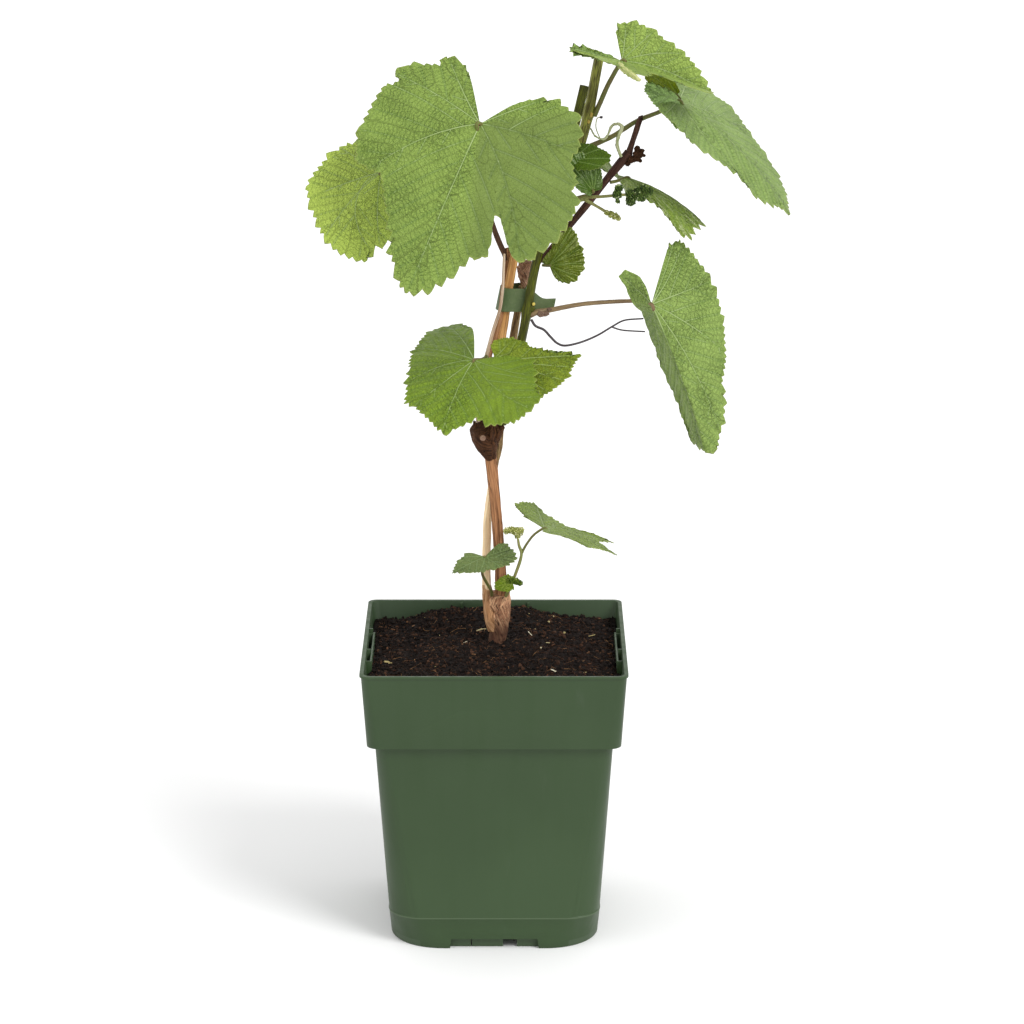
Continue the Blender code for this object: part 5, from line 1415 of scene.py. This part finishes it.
def drum(radius, depth, spot, sides):
    """An upright cylinder, in metres."""
    deselect_all()
    bpy.ops.mesh.primitive_cylinder_add(vertices=sides, radius=radius, depth=depth, location=spot)
    piece = bpy.context.object
    apply_place(piece)
    return piece


def cut_or_fuse(body, tools, operation):
    """Booleans a set of tools with the body, and uses them up."""
    for tool in tools:
        step = body.modifiers.new("tool", "BOOLEAN")
        step.object = tool
        step.operation = operation
        step.solver = "EXACT"
    apply_modifiers(body)
    for tool in tools:
        bpy.data.objects.remove(tool, do_unlink=True)


def make_pot():
    pot = pot_walls()
    fused = []
    inner = LIP_HALF / MM - 1.85
    for quarter in range(4):
        for middle, width in ((-19.6, 12), (-4, 18), (19.5, 13)):
            fused.append(bar((width, 1.5, 7), (middle, -56.2, 3.8), quarter))
        for side in (-1, 1):
            fused.append(bar((1.2, 4, 4), (side * RIB_ASIDE, -inner + 1.2, 164.5), quarter))
            fused.append(bar((1.3, 2.6, 20), (side * RIB_ASIDE, -inner + 0.7, 159), quarter))
    for quarter, aside in ((1, -10), (3, 10)):
        fused.append(bar((54, 0.9, 9), (aside, -inner + 2.6, 162.6), quarter))
        for end in (-26.6, 26.6):
            fused.append(bar((0.9, 3.4, 9), (aside + end, -inner + 1.2, 162.6), quarter))
    foot = drum(FOOT_RADIUS, FOOT_DEPTH, (0, 0, FOOT_DEPTH / 2), 48)
    cut_or_fuse(pot, [foot] + fused, "UNION")

    cuts = [bar((53, 8, 12), (0, -61.1, 0), quarter, 0.94) for quarter in range(4)]
    for quarter in range(4):
        turn = math.radians(90 * quarter)
        spot = (DRAIN_REACH * math.cos(turn), DRAIN_REACH * math.sin(turn), 7.25 * MM)
        cuts.append(drum(DRAIN_RADIUS, 6 * MM, spot, 32))
    cut_or_fuse(pot, cuts, "DIFFERENCE")
    edge = pot.modifiers.new("edges", "BEVEL")
    edge.width = 0.35 * MM
    edge.segments = 2
    edge.limit_method = "ANGLE"
    edge.angle_limit = math.radians(38)
    edge.use_clamp_overlap = True
    apply_modifiers(pot)
    select_only(pot)
    bpy.ops.object.shade_smooth_by_angle(angle=math.radians(32))

    # The second finish is the same plastic made lighter: painted light on the inner walls of the lip and on the bars
    # in the foot's notches.
    settle(pot, "pot", "pot_plastic", pot_finish("pot_plastic", (0.0245, 0.0505, 0.0155), (0.029, 0.0575, 0.019)),
           pot_finish("pot_inside_painted_light", (0.038, 0.066, 0.030), (0.046, 0.076, 0.036)))
    ribs = RIB_ASIDE * MM
    for face in pot.data.polygons:
        x, y, z = face.center
        inward = x * face.normal.x + y * face.normal.y
        lip_inside = z > LIP_FOOT + WALL and inward < 0 and face.normal.z < 0.7
        # Rib faces keep the darker outer plastic: a painted shade line down each rib.
        rib = min(abs(abs(x) - ribs), abs(abs(y) - ribs)) < 0.9 * MM
        foot_bar = 0.4 * MM < z < 7 * MM and max(abs(x), abs(y)) < 57.2 * MM
        face.material_index = 1 if (lip_inside and not rib) or foot_bar else 0


# ---------------------------------------------------------------- soil

SOIL_HALF = 72.3
SOIL_CORNER = 4.5
SOIL_FOOT = 128.5
MIX_COLOURS = ((0.0040, 0.0025, 0.0020), (0.0130, 0.0066, 0.0043), (0.075, 0.034, 0.018))
FLAKE_CORNERS = ((-1, -1, -1), (1, -1, -1), (1, 1, -1), (-1, 1, -1), (-1, -1, 1), (1, -1, 1), (1, 1, 1), (-1, 1, 1))
FLAKE_FACES = ((3, 2, 1, 0), (4, 5, 6, 7), (0, 1, 5, 4), (1, 2, 6, 5), (2, 3, 7, 6), (3, 0, 4, 7))


def soil_level(x, y):
    """Height of the potting mix in mm: mounded to the trunk, lumpy, and a little lower in two corners."""
    share = min(max(abs(x), abs(y)) / SOIL_HALF, 1.0)
    level = 160 + 7 * (1 - max(share, 0.17) ** 1.5) ** 0.8
    clods = 1.6 * noise.noise(Vector((x / 13, y / 13, 1.7))) + 1.5 * noise.noise(Vector((x / 5.5, y / 5.5, 4.1)))
    grit = 1.1 * noise.noise(Vector((x / 2.3, y / 2.3, 8.3))) + 0.5 * noise.noise(Vector((x / 1.1, y / 1.1, 2.9)))
    hollow = (2.2 * math.exp(-((x + 66) ** 2 + (y - 62) ** 2) / 260)
              + 1.2 * math.exp(-((x - 64) ** 2 + (y - 60) ** 2) / 200))
    ridge = 6.0 * math.exp(-((x + 6) / 38) ** 4) * min(max((y - 30) / 34, 0.0), 1.0) ** 1.3
    return level + clods + grit - hollow + ridge


def make_soil():
    """Potting mix that fills the pot, with crumbs, fibres, chips of bark and a few pale grains on it."""
    settle(soil_mass(), "soil", "soil", crumb_ground_finish(*MIX_COLOURS))
    for make, name, finish, *look in (
        (make_crumbs, "soil_crumbs", "soil_crumb", *MIX_COLOURS),
        (make_fibres, "soil_fibres", "soil_fibre", (0.022, 0.009, 0.005), (0.080, 0.034, 0.016), (0.32, 0.17, 0.075)),
        (make_flakes, "bark_chips", "bark_chip", (0.035, 0.014, 0.008), (0.11, 0.048, 0.022), (0.38, 0.21, 0.10)),
        (make_pale_bits, "pale_grains", "pale_grain", (0.34, 0.27, 0.11), (0.50, 0.42, 0.24), (0.72, 0.68, 0.56),
         0.8),
    ):
        settle(make(name), "soil", "soil", crumb_finish(finish, *look))


def soil_mass(count=170):
    """The mix as one body: a lumpy top, and sides that lean in to its foot."""
    points = []
    corner = SOIL_HALF - SOIL_CORNER
    for row in range(count + 1):
        for column in range(count + 1):
            x = SOIL_HALF * (2 * column / count - 1)
            y = SOIL_HALF * (2 * row / count - 1)
            if abs(x) > corner and abs(y) > corner:
                beyond = Vector((abs(x) - corner, abs(y) - corner))
                longest = max(beyond.x, beyond.y)
                beyond = beyond.normalized() * longest
                x, y = math.copysign(corner + beyond.x, x), math.copysign(corner + beyond.y, y)
            points.append((x, y, soil_level(x, y)))
    across = count + 1
    faces = grid_faces(across, across)
    rim = (list(range(across)) + [row * across + count for row in range(1, across)]
           + [count * across + column for column in range(count - 1, -1, -1)]
           + [row * across for row in range(count - 1, 0, -1)])
    start = len(points)
    points += [(points[index][0] * 0.978, points[index][1] * 0.978, SOIL_FOOT) for index in rim]
    for step in range(len(rim)):
        following = (step + 1) % len(rim)
        faces.append((rim[following], rim[step], start + step, start + following))
    faces.append(tuple(reversed(range(start, start + len(rim)))))
    return mesh_piece("potting_mix", np.array(points) * MM, faces)


def unit_ball(detail):
    """Points and faces of a ball of radius 1."""
    mesh = bmesh.new()
    bmesh.ops.create_icosphere(mesh, subdivisions=detail, radius=1.0)
    points = np.array([vertex.co[:] for vertex in mesh.verts])
    faces = [tuple(vertex.index for vertex in face.verts) for face in mesh.faces]
    mesh.free()
    return points, faces


def make_crumbs(name, count=7600, smallest=0.35, largest=1.35):
    """Thousands of small uneven crumbs, most of them fine, sunk into the surface."""
    scatter = np.random.default_rng(11)
    ball, ball_faces = unit_ball(1)
    limit = SOIL_HALF - 1.6
    heap = Heap()
    for _ in range(count):
        x, y = scatter.uniform(-limit, limit, 2)
        size = smallest + (largest - smallest) * scatter.random() ** 2.6
        shape = ball * scatter.uniform(0.65, 1.25, (len(ball), 1)) * scatter.uniform(0.7, 1.3, 3)
        heap.add(np.array((x, y, soil_level(x, y) + 0.25 * size)) + shape * size, ball_faces)
    return heap.piece(name)


def make_fibres(name, count=900, shortest=2.5, longest=13, steps=6):
    """Fine rootlets and coir fibres that lie over the crumbs and arch between them."""
    scatter = np.random.default_rng(12)
    limit = SOIL_HALF - 3
    last = steps * 3
    fibre_faces = grid_faces(steps + 1, 3, closed=True) + [(0, 1, 2), (last + 2, last + 1, last)]
    heap = Heap()
    for _ in range(count):
        x, y = scatter.uniform(-limit, limit, 2)
        heading = scatter.uniform(0, 2 * math.pi)
        length = shortest + (longest - shortest) * scatter.random() ** 2
        radius = scatter.uniform(0.08, 0.24)
        arch = scatter.uniform(0.1, 1.0)
        run = []
        for step in range(steps + 1):
            lift = 0.35 + arch * math.sin(math.pi * step / steps)
            run.append(np.array((x, y, soil_level(x, y) + lift)))
            heading += scatter.uniform(-0.35, 0.35)
            x = min(max(x + math.cos(heading) * length / steps, -limit), limit)
            y = min(max(y + math.sin(heading) * length / steps, -limit), limit)
        beside = np.array((-math.sin(heading), math.cos(heading), 0))
        skin = []
        for step, place in enumerate(run):
            thin = radius * (1 - 0.5 * step / steps)
            for side in range(3):
                angle = 2 * math.pi * side / 3
                skin.append(place + thin * (math.cos(angle) * beside + math.sin(angle) * np.array((0, 0, 1))))
        heap.add(skin, fibre_faces)
    return heap.piece(name, flat=False)


def flake_points(scatter, x, y, length, width, heading, lift=0.3):
    """Eight corners of a splinter that lies on the soil."""
    along = np.array((math.cos(heading), math.sin(heading), scatter.uniform(-0.25, 0.25)))
    beside = np.array((-math.sin(heading), math.cos(heading), scatter.uniform(-0.3, 0.3)))
    up = np.cross(along, beside)
    middle = np.array((x, y, soil_level(x, y) + lift + 0.3 * width))
    corners = []
    for a, b, c in FLAKE_CORNERS:
        trim = scatter.uniform(0.65, 1.0, 3)
        corners.append(middle + a * trim[0] * along * length / 2 + b * trim[1] * beside * width / 2
                       + c * trim[2] * up * width * 0.22)
    return corners


def make_flakes(name, count=260, shortest=0.8, longest=3.0):
    """Splinters of bark scattered over the soil."""
    scatter = np.random.default_rng(13)
    limit = SOIL_HALF - 4
    heap = Heap()
    for _ in range(count):
        x, y = scatter.uniform(-limit, limit, 2)
        length = scatter.uniform(shortest, longest)
        width = length * scatter.uniform(0.2, 0.5)
        heap.add(flake_points(scatter, x, y, length, width, scatter.uniform(0, math.pi)), FLAKE_FACES)
    return heap.piece(name)


def make_pale_bits(name):
    """A few light grains and splinters that catch the eye on the dark mix."""
    scatter = np.random.default_rng(14)
    heap = Heap()
    for splinter in ((-9, 22, 5, 1.3, 0.5), (-6, 26, 3, 0.8, 0.9), (21, 18, 7, 0.6, -1.1), (-17, 2, 4.5, 0.6, 1.0),
                     (57, 22, 5.5, 0.7, 0.05), (31, 4, 3, 1.0, 0.3), (34, -47, 4, 0.9, -0.7),
                     (52, -44, 2, 0.7, 0.0), (-62, -25, 4, 1.6, 0.5), (-60, -27, 2.5, 1.2, -0.4)):
        heap.add(flake_points(scatter, *splinter, 0.7), FLAKE_FACES)
    ball, ball_faces = unit_ball(2)
    grains = [(32, 45, 0.8), (35, 60, 0.5), (27, -10, 0.6), (-29, 0, 0.7), (41, 25, 0.8), (-34, -13, 0.5)]
    grains += [(scatter.uniform(-66, 66), scatter.uniform(-66, 66), scatter.uniform(0.2, 0.4)) for _ in range(22)]
    for x, y, size in grains:
        middle = np.array((x, y, soil_level(x, y) + 0.8 * size))
        heap.add(middle + ball * size * scatter.uniform(0.8, 1.15, (len(ball), 1)), ball_faces)
    return heap.piece(name)


# ---------------------------------------------------------------- studio


def make_stage():
    """A plain pale floor, soft light all round, and one soft lamp from the front right."""
    deselect_all()
    bpy.ops.mesh.primitive_plane_add(size=14, location=(0, 0, 0))
    floor = bpy.context.object
    floor.name = "floor"
    white = Finish("floor_white")
    white.feed(white.shader["Base Color"], (0.84, 0.84, 0.84))
    white.feed(white.shader["Roughness"], 0.9)
    white.feed(white.shader["Specular IOR Level"], 0.1)
    floor.data.materials.append(white.material)

    world = bpy.data.worlds.new("studio")
    bpy.context.scene.world = world
    world.use_nodes = True
    sky = world.node_tree.nodes["Background"].inputs
    sky["Color"].default_value = (1.0, 1.0, 1.0, 1)
    sky["Strength"].default_value = 1.06

    for name, energy, width, heading in (("key", 1.85, 24, (-1.3, 1.35, -1.6)), ("fill", 0.2, 35, (1.3, 1.0, -1.3))):
        light = bpy.data.lights.new(name, "SUN")
        light.energy = energy
        light.angle = math.radians(width)
        link(name, light).rotation_euler = Vector(heading).to_track_quat("-Z", "Y").to_euler()


def make_camera():
    lens = bpy.data.cameras.new("camera")
    lens.sensor_width = 36
    lens.lens = 134
    lens.clip_end = 60
    camera = link("camera", lens)
    camera.location = (0.0102, -2.119, 0.832)
    camera.rotation_euler = (math.pi / 2 - 0.27, 0, 0)
    bpy.context.scene.camera = camera
    bpy.context.scene.view_settings.view_transform = "Standard"


deselect_all()
make_camera()
make_pot()
make_soil()
knot_bark = make_old_wood()
make_green_wood(knot_bark)
make_tie()
blade_skins = make_leaves()
make_fine_growth(blade_skins)
make_stage()
